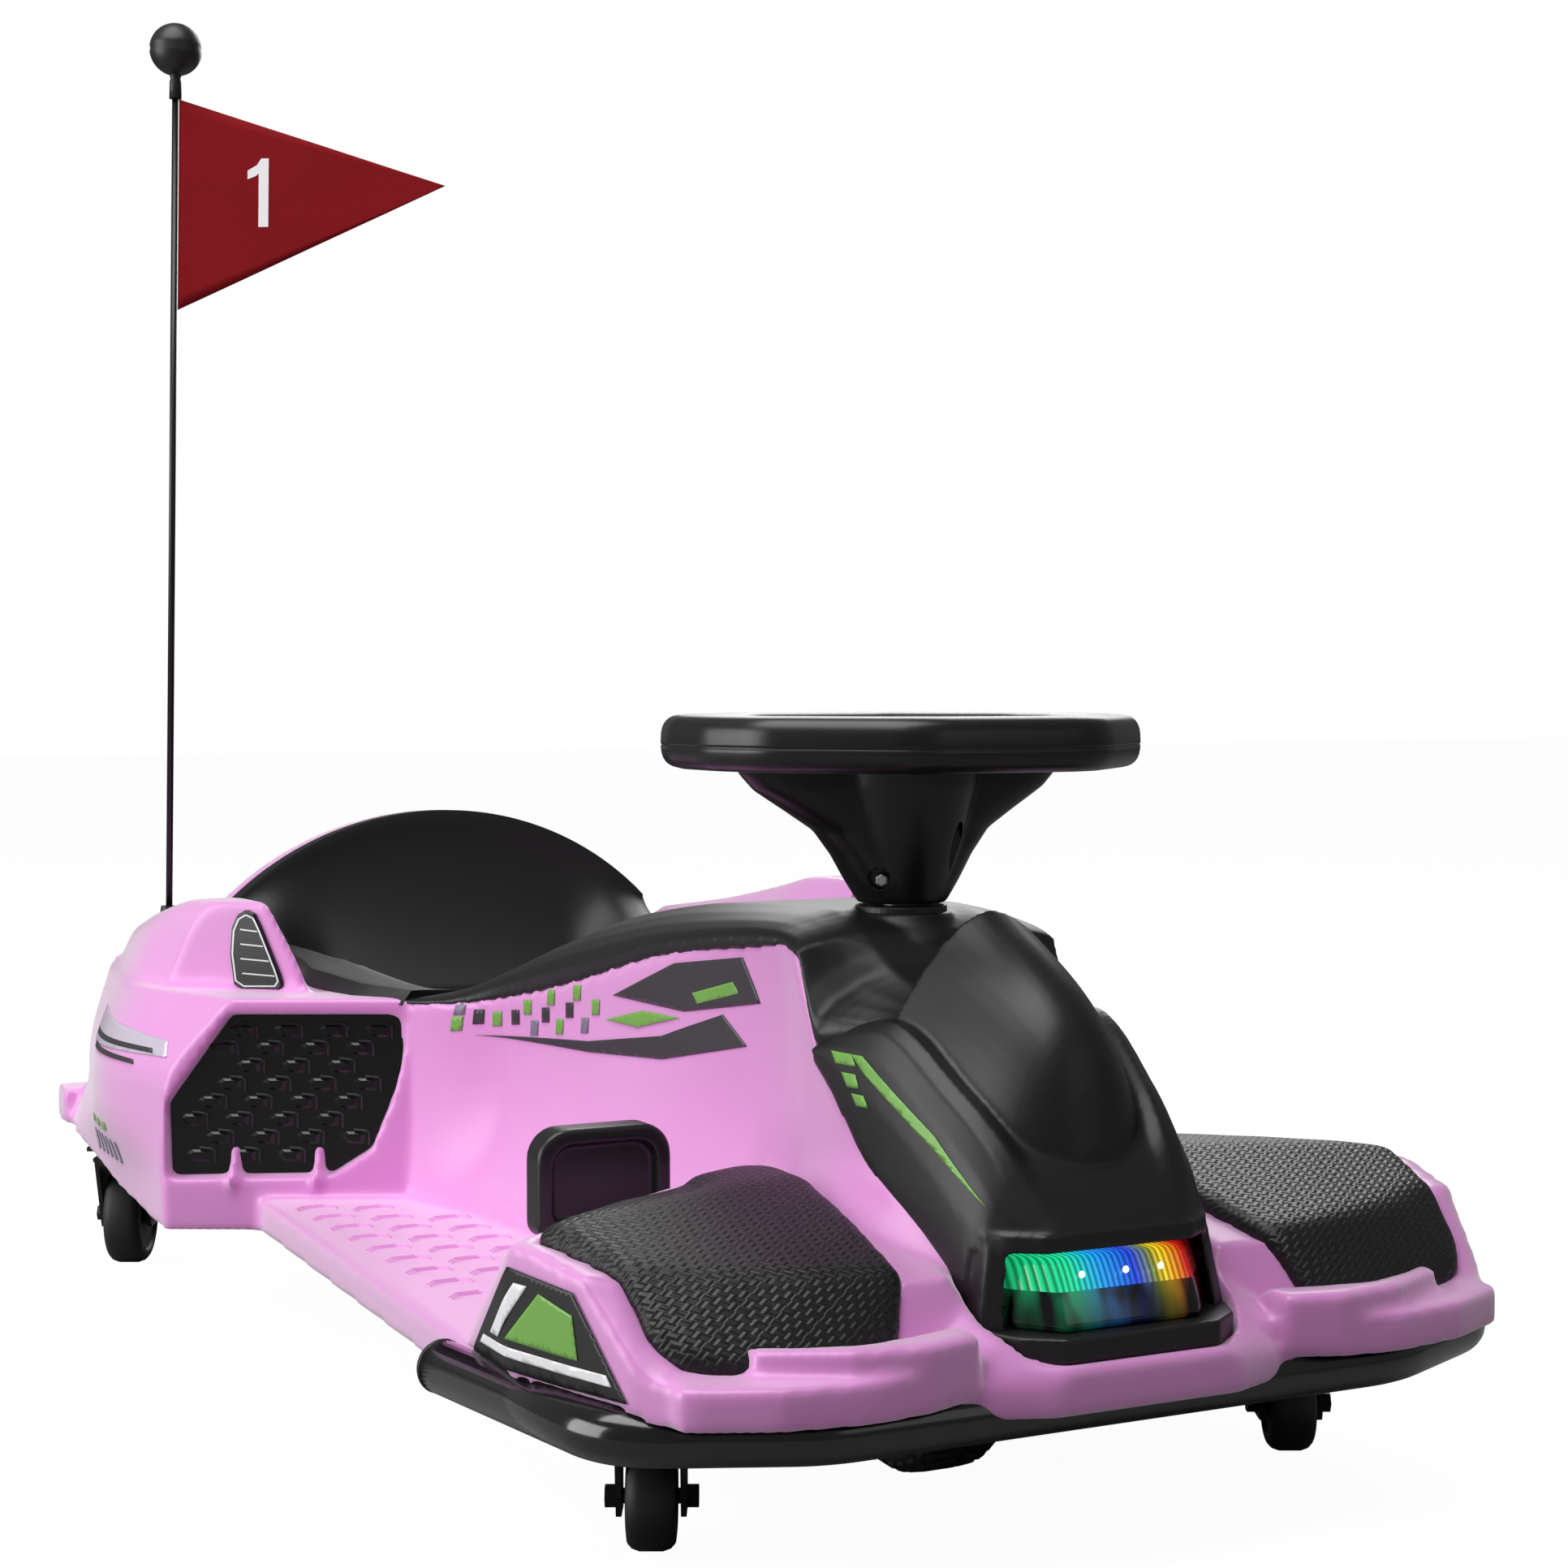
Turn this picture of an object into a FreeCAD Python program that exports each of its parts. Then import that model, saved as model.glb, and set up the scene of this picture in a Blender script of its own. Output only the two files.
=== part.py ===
import FreeCAD, Part
import math
import os

# Children's electric drift kart with a flag, in millimetres.
# The origin is on the floor under the middle of the kart, +Z is up and the nose points to -Y.
# The rider's right-hand side is -X; that side carries the pedal and the flag.
# Paired pieces are drawn on +X and mirrored.

V = FreeCAD.Vector
UP = V(0, 0, 1)
LEFT = V(1, 0, 0)

# Whole kart
NOSE_Y = -520.0
TAIL_Y = 520.0
WALL = 4.0
SEAT_GAP = 0.3
RUN_FIT = 0.06
FAR = 1000.0
FLAT_VOLUME = 0.001
ROUND_SIDES = 24
STEEP = 0.9

# Steel bumper tube
TUBE_R = 14.0
TUBE_Z = 88.0
TUBE_END = (282.0, -288.0)
TUBE_OUTER = (259.0, -453.0)
TUBE_INNER = (168.0, -494.0)
TUBE_OUTER_BEND = 45.0
TUBE_INNER_BEND = 80.0
CAP_LENGTH = 6.0
CAP_R = 14.5
TUBE_BEND_STEPS = 5
ROOM_SIDES = 12

# Underframe of square steel tube
RAIL_X = 122.0
RAIL_WIDTH = 25.0
RAIL_TOP = 80.0
RAIL_DEPTH = 14.0
RAIL_FRONT_Y = -462.0
RAIL_TAB = 6.0
CROSS_REAR_Y = 440.0
CROSS_REAR_HALF = 280.0
CROSS_REAR_BOTTOM = 95.0
CROSS_MID_Y = 120.0
RAIL_REAR_Y = CROSS_REAR_Y + RAIL_WIDTH / 2
BRACKET_THICK = 5.0

# Floor boards and the base of the shells
FLOOR_TOP = 97.0
SHELL_BOTTOM = 87.0
FLOOR_EDGE_FRONT = 268.0
FLOOR_EDGE_REAR = 246.0

# Fuselage moulding: one row per cross-section
# columns: y, base half-width, foot half-width, foot z, waist half-width, waist z, top half-width, top z
FUSELAGE = (
    (NOSE_Y, 54.0, 54.0, 99.0, 50.0, 106.0, 44.0, 111.0),
    (-508.0, 84.0, 84.0, 101.0, 74.0, 109.0, 60.0, 114.0),
    (-494.0, 112.0, 110.0, 103.0, 90.0, 117.0, 68.0, 124.0),
    (-470.0, 118.0, 112.0, 122.0, 88.0, 131.0, 68.0, 138.0),
    (-430.0, 118.0, 104.0, 148.0, 86.0, 157.0, 75.0, 163.0),
    (-368.0, 116.0, 100.0, 168.0, 84.0, 184.0, 80.0, 201.0),
    (-321.0, 112.0, 90.0, 172.0, 80.0, 198.0, 82.0, 245.0),
    (-298.0, 110.0, 86.0, 174.0, 81.0, 206.0, 90.0, 301.0),
    (-160.0, 126.0, 122.0, 121.0, 97.0, 172.0, 99.0, 284.0),
    (-47.0, 130.0, 127.0, 117.0, 104.0, 168.0, 110.0, 257.0),
    (40.0, 140.0, 136.0, 109.0, 117.0, 165.0, 124.0, 239.0),
    (92.0, 152.0, 150.0, 103.0, 142.0, 160.0, 146.0, 231.0),
    (119.0, 160.0, 159.0, 100.0, 158.0, 160.0, 160.0, 229.0),
)
SHELL_INNER_ROWS = (2, 5, 7, 8, 10, 12)

# Black cover behind the column and round it: one row per cross-section
# columns: y, lower half-width, lower z, shoulder half-width, shoulder z, crown half-width, crown z
COVER = (
    (-366.0, 60.0, 262.0, 52.0, 266.0, 30.0, 268.0),
    (-321.0, 82.0, 245.0, 78.0, 268.0, 44.0, 288.0),
    (-298.0, 90.0, 301.0, 80.0, 303.0, 48.0, 305.0),
    (-262.0, 92.0, 296.0, 78.0, 306.0, 44.0, 313.0),
    (-160.0, 99.0, 284.0, 86.0, 298.0, 44.0, 309.0),
    (-47.0, 110.0, 257.0, 96.0, 276.0, 46.0, 295.0),
    (40.0, 124.0, 239.0, 110.0, 254.0, 58.0, 271.0),
    (92.0, 146.0, 231.0, 130.0, 236.0, 96.0, 241.0),
)
COVER_SKIRT = 5.0

# Black hood in front of the column: one row per cross-section
# columns: y, lower half-width, lower z, shoulder half-width, shoulder z, crown half-width, crown z
HOOD = (
    (-321.0, 82.0, 245.0, 83.0, 248.0, 70.0, 250.0),
    (-368.0, 80.0, 201.0, 76.0, 258.0, 58.0, 266.0),
    (-430.0, 75.0, 163.0, 66.0, 224.0, 46.0, 234.0),
    (-470.0, 72.0, 137.0, 59.0, 192.0, 36.0, 206.0),
    (-484.0, 70.0, 131.0, 50.0, 174.0, 30.0, 196.0),
)
HOOD_NOSE = (-491.0, 45.0, 161.0, 43.0, 175.0, 26.0, 188.0)

# Raised scoop on the hood: one row per cross-section
# columns: y, foot half-width, foot z, side half-width, side z, crown half-width, crown z
SCOOP = (
    (-368.0, 60.0, 264.0, 46.0, 292.0, 12.0, 320.0),
    (-384.0, 57.0, 256.0, 42.0, 286.0, 11.0, 315.0),
    (-402.0, 53.0, 246.0, 37.0, 274.0, 11.0, 299.0),
    (-435.0, 45.0, 228.0, 28.0, 250.0, 11.0, 268.0),
    (-468.0, 32.0, 206.0, 18.0, 224.0, 9.0, 234.0),
    (-489.0, 14.0, 190.0, 9.0, 197.0, 5.0, 201.0),
)
SCOOP_ROOT = 14.0

# Lamp, the lip under it and the cheeks beside it: plan corners at half-width and y
LENS_BOTTOM = 124.0
LENS_TOP = 158.0
BROW_Z = 161.0
LAMP_BACK_Y = -462.0
LENS_FOOT = ((61.0, LAMP_BACK_Y), (59.0, -480.0), (41.0, -503.0))
LENS_HEAD = ((56.0, LAMP_BACK_Y), (54.0, -471.0), (38.0, -487.0))
LIP_BOTTOM = 111.0
LIP_PLAN = ((73.0, -448.0), (73.0, -479.0), (63.0, -500.0), (45.0, -513.0))
CHEEK = ((61.5, LAMP_BACK_Y), (71.0, LAMP_BACK_Y), (71.0, -476.0), (61.5, -482.0))

# Foot rests: one row per cross-section from the fuselage to the outer side
# columns: x, rear foot y, rear top y, top z, fold y, fold z, slope foot y, ledge front y
FOOTREST = (
    (80.0, -212.0, -268.0, 174.0, -462.0, 149.0, -478.0, -500.0),
    (125.0, -232.0, -288.0, 175.0, -466.0, 149.0, -482.0, -517.0),
    (157.0, -247.0, -303.0, 175.0, -463.0, 151.0, -485.0, NOSE_Y),
    (200.0, -266.0, -327.0, 173.0, -452.0, 153.0, -481.0, -513.0),
    (235.0, -282.0, -345.0, 171.0, -436.0, 157.0, -474.0, -497.0),
    (252.0, -290.0, -356.0, 169.0, -432.0, 159.0, -470.0, -485.0),
    (282.0, -303.0, -373.0, 167.0, -424.0, 162.0, -460.0, -472.0),
)
FOOTREST_TOP = 167.0
LEDGE_REAR_Z = 120.0
LEDGE_Z = 117.5
FOOTREST_SIDE = ((277.0, -290.0), (279.0, -371.0), (267.0, -420.0), (254.0, -464.0), (243.0, -482.0))
RIDGE_PLAN = ((205.0, -474.0), (202.0, -490.0), (160.0, -511.0), (122.0, -517.0), (90.0, -508.0), (90.0, -484.0),
              (122.0, -493.0), (150.0, -497.0), (180.0, -488.0))
RIDGE_Z = 131.0

# Foot pads: plan outline, height over the foot rest and depth in it
PAD_OUTLINE = ((264.0, -373.0), (205.0, -330.0), (144.0, -302.0), (112.0, -286.0), (94.0, -296.0), (102.0, -400.0),
               (110.0, -464.0), (122.0, -482.0), (150.0, -488.0), (204.0, -484.0), (232.0, -472.0), (243.0, -457.0),
               (247.0, -426.0))
PAD_RISE = 5.0
PAD_SINK = 6.0

# Pedal on the rider's right
PEDAL_X = 183.0
PEDAL_Y = -272.0
PEDAL_WIDTH = 78.0
PEDAL_BOTTOM = 144.0
PEDAL_TOP = 203.0
PEDAL_THICK = 20.0
PEDAL_CUT = 14.0
PEDAL_FOOT_Y = -236.0
PEDAL_ARM = 24.0

# Seat
SEAT_REAR_Y = 500.0
SEAT_HALF = 160.0
SEAT_BACK_HALF = 178.0
SEAT_BOTTOM = 184.0
SEAT_RIM_Z = 240.0
ARCH_R = 250.0
ARCH_TOP = 337.0
PAN_Z = 196.0
PAN_HALF = 118.0
PAN_FRONT = 175.0
PAN_REAR = 400.0
BOWL_HALF = 240.0
BOWL_FRONT = 80.0
BACK_TOP_THICK = 12.0

# Rear pods: outline at three heights behind a flat swept front
# columns: z, front corner x, side x at the three stations, rear x
POD_BOTTOM_Z = 80.0
POD_LEDGE_Z = 231.0
POD_LEVELS = (
    (POD_BOTTOM_Z, 306.0, 322.0, 308.0, 295.0, 276.0),
    (171.0, 302.0, 322.0, 306.0, 292.0, 272.0),
    (POD_LEDGE_Z, 262.0, 299.0, 288.0, 276.0, 257.0),
)
POD_SIDE_STATIONS = (291.0, 385.0, 448.0)
POD_SWEEP = 0.507
POD_INNER = SEAT_HALF + SEAT_GAP
POD_FRONT = FUSELAGE[-1][0] + SEAT_GAP
POD_REAR = SEAT_REAR_Y - SEAT_GAP
POD_REAR_BOTTOM_Z = 126.0
POD_RISE_START = 205.0
POD_RISE_END = 290.0
POCKET = ((POD_INNER + 9, 219.0), (262.0, 219.0), (301.0, 160.0), (300.0, 110.0), (206.0, 113.0), (187.0, 126.0),
          (174.0, 150.0))
POCKET_DEPTH = 16.0
PANEL_THICK = 4.0
FIN_X = (212.0, 262.0)
FIN_HEIGHT = 17.0
FIN_THICK = 4.0

# Humps on the pods: one row per cross-section
# columns: y, outer x, edge x, edge z, crown outer x, crown inner x, crown z, inner x
HUMP = (
    (180.0, 254.0, 254.0, 266.0, 246.0, 228.0, 292.0, 205.0),
    (266.0, 284.0, 274.0, 268.0, 257.0, 228.0, 291.0, 180.0),
    (320.0, 295.0, 285.0, 258.0, 264.0, 226.0, 281.0, POD_INNER + 1),
    (400.0, 284.0, 275.0, 248.0, 256.0, 218.0, 266.0, POD_INNER + 1),
    (POD_REAR, 256.0, 250.0, 238.0, 236.0, 204.0, 252.0, POD_INNER + 1),
)
HUMP_FACE = ((200.0, 172.0), (256.0, 233.0))
VENT = ((219.0, 239.0), (247.0, 239.0), (249.0, 262.0), (243.0, 278.0), (235.0, 283.0), (230.0, 278.0))
VENT_THICK = 3.0

# Rear shell with its low bumper step
SHELL_BOTTOM_Z = 108.0
SHELL_HALF = (262.0, 250.0)
STEP_Z = (106.0, 132.0)
STEP_HALF = 305.0
STEP_Y = 478.0

# Battery
BATTERY = (151.0, 130.0, 94.0)
BATTERY_Y = 265.0
TRAY_THICK = 4.0
TRAY_MARGIN = 12.0

# Steering
STEER_Y = -270.0
SHAFT_R = 12.0
COLLAR_R = 28.0
COLLAR_BOTTOM = 290.0
COLLAR_TOP = 316.0
COLUMN_R = 17.0
COLUMN_BOTTOM = 186.0
HUB_BOTTOM = 318.0
HUB_NECK_R = 25.0
HUB_TOP_R = 42.0
HUB_BOSS = 24.0
WING_HALF = 97.0
WING_KNEE = 52.0
WING_KNEE_Z = 359.0
WING_THICK = 30.0
SPOKE_WIDTH = 44.0
RIM_BOTTOM = 395.0
RIM_HEIGHT = 29.0
RIM_TOP = RIM_BOTTOM + RIM_HEIGHT
RIM_WIDTH = 32.0
RIM_CHAMFER = 9.0
RIM_QUARTER = ((136.0, 22.0), (123.0, 60.0), (56.0, 124.0))

# Drive wheel and its fork
DRIVE_Y = -291.0
DRIVE_R = 74.0
DRIVE_WIDTH = 52.0
DRIVE_HUB_R = 48.0
TYRE_CHAMFER = 6.0
TYRE_SIDES = 40
AXLE_R = 6.0
FORK_GAP = 5.0
FORK_THICK = 6.0
FORK_HALF = 16.0
CROWN_BOTTOM = 158.0
CROWN_THICK = 8.0

# Casters: one row per pair
# columns: name, pivot x, pivot y, wheel radius, wheel width, trail, mounting height
CASTERS = (
    ("front", 201.0, -369.0, 27.5, 26.0, 12.0, 75.0),
    ("rear", 270.0, 440.0, 37.5, 28.0, 24.0, 95.0),
)
CASTER_TURN = -27.0
CASTER_PLATE = 44.0
CASTER_PLATE_THICK = 3.0
CASTER_CUP_DEPTH = 6.0
CASTER_SIDE_GAP = 2.0
CASTER_FORK_THICK = 3.0
CASTER_PIN_R = 4.0
CASTER_PIN_OUT = 6.0
NUT_R = 6.0
KINGPIN_R = 5.0

# Flag
FLAG_FOOT = (-235.0, 435.0)
FLAG_LEAN = (10.5, 0.0)
FLAG_FOOT_Z = 262.0
POLE_R = 2.5
SOCKET_R = (9.0, 6.0)
SOCKET_LENGTH = 22.0
FERRULE_R = 5.0
FERRULE_LENGTH = 22.0
BALL_Z = 915.0
BALL_R = 19.5
BALL_SIDES = 20
FLAG_TOP = 872.0
FLAG_HEIGHT = 157.0
FLAG_LENGTH = 203.0
FLAG_TIP_DROP = 0.41
FLAG_THICK = 1.2
FLAG_TURN = -27.2

# Red button behind the column
BUTTON_Y = 24.0
BUTTON_R = 12.0
BUTTON_TOP = 288.0
BUTTON_BASE_MARGIN = 5.0
BUTTON_BASE_HEIGHT = 16.0


def box(x0, x1, y0, y1, z0, z1):
    return Part.makeBox(x1 - x0, y1 - y0, z1 - z0, V(x0, y0, z0))


def closed_wire(points):
    return Part.makePolygon(list(points) + [points[0]])


def prism(outline, z0, z1):
    face = Part.Face(closed_wire([V(x, y, z0) for x, y in outline]))
    return face.extrude(V(0, 0, z1 - z0))


def slab(points, depth):
    """Extrude a planar outline of vectors by a vector."""
    return Part.Face(closed_wire(points)).extrude(depth)


def flat_faces(a, b, c, d):
    """One face for a flat quad, otherwise two triangles across the shorter diagonal."""
    if abs((b - a).cross(c - a).dot(d - a)) < FLAT_VOLUME:
        return [Part.Face(closed_wire([a, b, c, d]))]
    if (c - a).Length < (d - b).Length:
        return [Part.Face(closed_wire([a, b, c])), Part.Face(closed_wire([a, c, d]))]
    return [Part.Face(closed_wire([a, b, d])), Part.Face(closed_wire([b, c, d]))]


def loft(sections):
    """Solid of flat facets through closed outlines that have the same number of corners."""
    faces = [Part.Face(closed_wire(sections[0])), Part.Face(closed_wire(sections[-1]))]
    for lower, upper in zip(sections, sections[1:]):
        for i in range(len(lower)):
            faces += flat_faces(lower[i - 1], lower[i], upper[i], upper[i - 1])
    solid = Part.makeSolid(Part.makeShell(faces))
    return solid if solid.Volume > 0 else solid.reversed()


def ring_at(centre, along, radius, sides=ROUND_SIDES):
    """Corners of a ring square to a direction, with a flat at its lowest point."""
    side = along.cross(UP) if abs(along.z) < STEEP else V(1, 0, 0) - along * along.x
    side.normalize()
    up = side.cross(along)
    corners = []
    for i in range(sides):
        turn = 2 * math.pi * (i + 0.5) / sides
        corners.append(centre + side * (radius * math.cos(turn)) + up * (radius * math.sin(turn)))
    return corners


def bar(centre, along, length, radius, end_radius=None):
    """Round bar or cone frustum of flat facets."""
    last = radius if end_radius is None else end_radius
    return loft([ring_at(centre, along, radius), ring_at(centre + along * length, along, last)])


def main_solid(shape):
    """The largest solid of a cut, without slivers left beside a neighbour's facets."""
    return max(shape.removeSplitter().Solids, key=lambda solid: solid.Volume)


def mirrored(shape):
    return shape.mirror(V(0, 0, 0), V(1, 0, 0))


def side_copy(shape, side):
    return shape if side > 0 else mirrored(shape)


def inset(points, wall):
    """Move every edge of an anticlockwise convex outline inwards by wall."""
    count = len(points)
    lines = []
    for i in range(count):
        x0, y0 = points[i]
        x1, y1 = points[(i + 1) % count]
        length = math.hypot(x1 - x0, y1 - y0)
        nx, ny = -(y1 - y0) / length, (x1 - x0) / length
        lines.append((x0 + nx * wall, y0 + ny * wall, x1 - x0, y1 - y0))
    out = []
    for i in range(count):
        ax, ay, adx, ady = lines[i - 1]
        bx, by, bdx, bdy = lines[i]
        cross = adx * bdy - ady * bdx
        t = ((bx - ax) * bdy - (by - ay) * bdx) / cross
        out.append((ax + adx * t, ay + ady * t))
    return out


def both_sides(half_plan):
    """Close a plan outline given for +X by its mirror image."""
    return list(half_plan) + [(-x, y) for x, y in reversed(half_plan)]


def half_section(row_points, y):
    left = [V(-x, y, z) for x, z in row_points]
    right = [V(x, y, z) for x, z in reversed(row_points)]
    return left + right


def save(name, shape):
    shape.exportStep(os.path.join("parts", name + ".step"))


def tube_path():
    """Centreline of the bumper tube as lines joined by tangent arcs."""
    half = [TUBE_END, TUBE_OUTER, TUBE_INNER]
    corners = [V(-x, y, TUBE_Z) for x, y in half] + [V(x, y, TUBE_Z) for x, y in reversed(half)]
    bends = [0.0, TUBE_OUTER_BEND, TUBE_INNER_BEND, TUBE_INNER_BEND, TUBE_OUTER_BEND, 0.0]
    edges = []
    start = corners[0]
    for i in range(1, len(corners) - 1):
        into = (corners[i] - corners[i - 1]).normalize()
        away = (corners[i + 1] - corners[i]).normalize()
        turn = into.getAngle(away)
        tangent = bends[i] * math.tan(turn / 2)
        first = corners[i] - into * tangent
        last = corners[i] + away * tangent
        middle_out = (away - into).normalize()
        centre = corners[i] + middle_out * (bends[i] / math.cos(turn / 2))
        middle = centre - middle_out * bends[i]
        edges.append(Part.LineSegment(start, first).toShape())
        edges.append(Part.Arc(first, middle, last).toShape())
        start = last
    edges.append(Part.LineSegment(start, corners[-1]).toShape())
    return Part.Wire(edges), corners


def tube_solid(radius, sides):
    """Tube along the bumper's centreline, with each bend in a few straight lengths."""
    path, corners = tube_path()
    stations = []
    for edge in path.OrderedEdges:
        first, last = edge.ParameterRange
        count = 1 if isinstance(edge.Curve, Part.Line) else TUBE_BEND_STEPS
        for k in range(count):
            place = first + (last - first) * k / count
            stations.append((edge.valueAt(place), edge.tangentAt(place)))
    stations.append((corners[-1], stations[-1][1]))
    return loft([ring_at(point, along, radius, sides) for point, along in stations])


def tube_room():
    """Room for the tube in what rests on it, just wider than the tube."""
    return tube_solid((TUBE_R + SEAT_GAP) / math.cos(math.pi / ROOM_SIDES), ROOM_SIDES)


def tube_caps():
    path, corners = tube_path()
    cap = bar(corners[0], (corners[0] - corners[1]).normalize(), CAP_LENGTH, CAP_R)
    return Part.Compound([cap, mirrored(cap)])


def rail():
    x0 = RAIL_X - RAIL_WIDTH / 2
    x1 = RAIL_X + RAIL_WIDTH / 2
    beam = box(x0, x1, RAIL_FRONT_Y, RAIL_REAR_Y, RAIL_TOP - RAIL_DEPTH, RAIL_TOP)
    tab = box(x0, x1, TUBE_INNER[1], RAIL_FRONT_Y, RAIL_TOP - RAIL_TAB, RAIL_TOP)
    post = box(x0, x1, CROSS_REAR_Y - RAIL_WIDTH / 2, RAIL_REAR_Y, RAIL_TOP, CROSS_REAR_BOTTOM)
    return main_solid(beam.fuse([post, tab]).cut(tube_room()))


def cross_rear():
    half = RAIL_WIDTH / 2
    return box(-CROSS_REAR_HALF, CROSS_REAR_HALF, CROSS_REAR_Y - half, CROSS_REAR_Y + half, CROSS_REAR_BOTTOM,
               CROSS_REAR_BOTTOM + RAIL_WIDTH)


def cross_mid():
    half = RAIL_WIDTH / 2
    reach = RAIL_X - half
    return box(-reach, reach, CROSS_MID_Y - half, CROSS_MID_Y + half, RAIL_TOP - RAIL_DEPTH, RAIL_TOP)


def caster_bracket():
    name, px, py, radius, width, trail, top = CASTERS[0]
    half = CASTER_PLATE / 2 + BRACKET_THICK
    return box(RAIL_X + RAIL_WIDTH / 2, px + half, py - half, py + half, top, RAIL_TOP)


def fuselage_outer():
    sections = []
    for y, xb, xf, zf, xw, zw, xt, zt in FUSELAGE:
        sections.append(half_section([(xb, SHELL_BOTTOM), (xf, zf), (xw, zw), (xt, zt)], y))
    return loft(sections)


def fuselage(outer):
    sections = []
    last_y = FUSELAGE[-1][0]
    for i in SHELL_INNER_ROWS:
        y, xb, xf, zf, xw, zw, xt, zt = FUSELAGE[i]
        row = [(xb - 2 * WALL, SHELL_BOTTOM - 1), (xf - 2 * WALL, zf - WALL), (xw - 2 * WALL, zw),
               (xt - 3 * WALL, zt - 3 * WALL)]
        sections.append(half_section(row, min(y, last_y - WALL)))
    shell = outer.cut(loft(sections))
    return main_solid(shell.cut([tube_room(), collar_outside(SEAT_GAP), lip_room()]))


def black_sections(rows, drop):
    sections = []
    for y, xl, zl, xs, zs, xc, zc in rows:
        sections.append(half_section([(xl, zl - drop), (xl, zl), (xs, zs), (xc, zc)], y))
    return sections


def hood(outer):
    body = loft(black_sections(HOOD, COVER_SKIRT))
    brow = loft(black_sections([HOOD[-1], HOOD_NOSE], 1.0))
    humps = []
    for y, xf, zf, xs, zs, xc, zc in SCOOP:
        humps.append(half_section([(xf, zf - SCOOP_ROOT), (xf, zf), (xs, zs), (xc, zc)], y))
    body = body.fuse([brow, loft(humps)])
    lamp_space = box(-FAR, FAR, -FAR, LAMP_BACK_Y, 0, BROW_Z)
    return main_solid(body.cut([lamp_space, outer, collar_outside(SEAT_GAP)]))


def cover(outer, hood_solid):
    body = loft(black_sections(COVER, COVER_SKIRT))
    return main_solid(body.cut([outer, hood_solid, collar_outside(SEAT_GAP)]))


def lip_room():
    """Opening in the nose for the lip and the lens over it."""
    plan = [(x + SEAT_GAP, y - SEAT_GAP) for x, y in LIP_PLAN]
    return prism(both_sides(plan), LIP_BOTTOM - SEAT_GAP, FAR)


def lamp():
    lens = loft([
        [V(x, y, LENS_BOTTOM) for x, y in both_sides(LENS_FOOT)],
        [V(x, y, LENS_TOP) for x, y in both_sides(LENS_HEAD)],
    ])
    cheek = prism(CHEEK, LENS_BOTTOM, BROW_Z)
    lip = prism(both_sides(LIP_PLAN), LIP_BOTTOM, LENS_BOTTOM).fuse([cheek, mirrored(cheek)])
    return lens, lip


def footrest_top(rise, sink):
    """A slab that follows the top of the foot rest from side to side."""
    sections = []
    for x, y_foot, y_rear, z_top, y_fold, z_fold, y_base, y_ledge in FOOTREST:
        y_mid = (y_rear * 2 + y_fold) / 3
        sections.append([
            V(x, y_rear, z_top - sink),
            V(x, y_rear, z_top + rise * 0.6),
            V(x, y_mid, z_top + rise),
            V(x, y_fold, z_fold + rise),
            V(x, y_base - rise * 0.6, LEDGE_REAR_Z + rise * 0.2),
            V(x, y_base, LEDGE_REAR_Z - sink),
            V(x, y_fold, z_fold - sink),
            V(x, y_mid, z_top - sink * 1.6),
        ])
    return loft(sections)


def pad(outer):
    return main_solid(footrest_top(PAD_RISE, PAD_SINK).common(prism(PAD_OUTLINE, FLOOR_TOP, FAR)).cut(outer))


def footrest_body():
    sections = []
    for x, y_foot, y_rear, z_top, y_fold, z_fold, y_base, y_ledge in FOOTREST:
        y_mid = (y_rear * 2 + y_fold) / 3
        sections.append([
            V(x, y_foot, FLOOR_TOP),
            V(x, y_rear, z_top),
            V(x, y_mid, z_top - 1),
            V(x, y_fold, z_fold),
            V(x, y_base, LEDGE_REAR_Z),
            V(x, y_ledge, LEDGE_Z),
            V(x, y_ledge, FLOOR_TOP),
        ])
    first = FOOTREST[0][0]
    outline = [(first, 0.0), (FOOTREST_SIDE[0][0], 0.0)] + list(FOOTREST_SIDE)
    outline += [(FOOTREST_SIDE[-1][0], -FAR), (first, -FAR)]
    return loft(sections).common(prism(outline, FLOOR_TOP - 1, FAR))


def footrest(outer, pad_solid):
    ridge = prism(RIDGE_PLAN, FLOOR_TOP + WALL, RIDGE_Z)
    body = footrest_body().fuse(ridge)
    return main_solid(body.cut([pad_solid, tube_room(), outer]))


def pod_front(x):
    return POD_FRONT + POD_SWEEP * (x - POD_INNER)


def floor_board(outer):
    first, last = FOOTREST[0], FOOTREST[-1]
    outline = (
        (first[0], first[1] + SEAT_GAP),
        (FLOOR_EDGE_FRONT, last[1] + 2 * WALL),
        (FLOOR_EDGE_REAR, pod_front(FLOOR_EDGE_REAR) - SEAT_GAP),
        (POD_INNER, POD_FRONT - SEAT_GAP),
        (first[0], POD_FRONT - SEAT_GAP),
    )
    board = prism(outline, RAIL_TOP, FLOOR_TOP)
    return main_solid(board.cut([outer, tube_room()]))


def pod_outline(level):
    z, xf, x1, x2, x3, xr = level
    sides = list(zip((x1, x2, x3), POD_SIDE_STATIONS))
    return [(POD_INNER, POD_FRONT), (xf, pod_front(xf))] + sides + [(xr, POD_REAR), (POD_INNER, POD_REAR)]


def on_front(x, z, depth):
    """Point at a depth behind the pod's swept front."""
    length = math.hypot(1.0, POD_SWEEP)
    return V(x - POD_SWEEP / length * depth, pod_front(x) + depth / length, z)


def front_plate(outline, depth, thick):
    face = [on_front(x, z, depth) for x, z in outline]
    return slab(face, on_front(0, 0, thick) - on_front(0, 0, 0))


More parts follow.
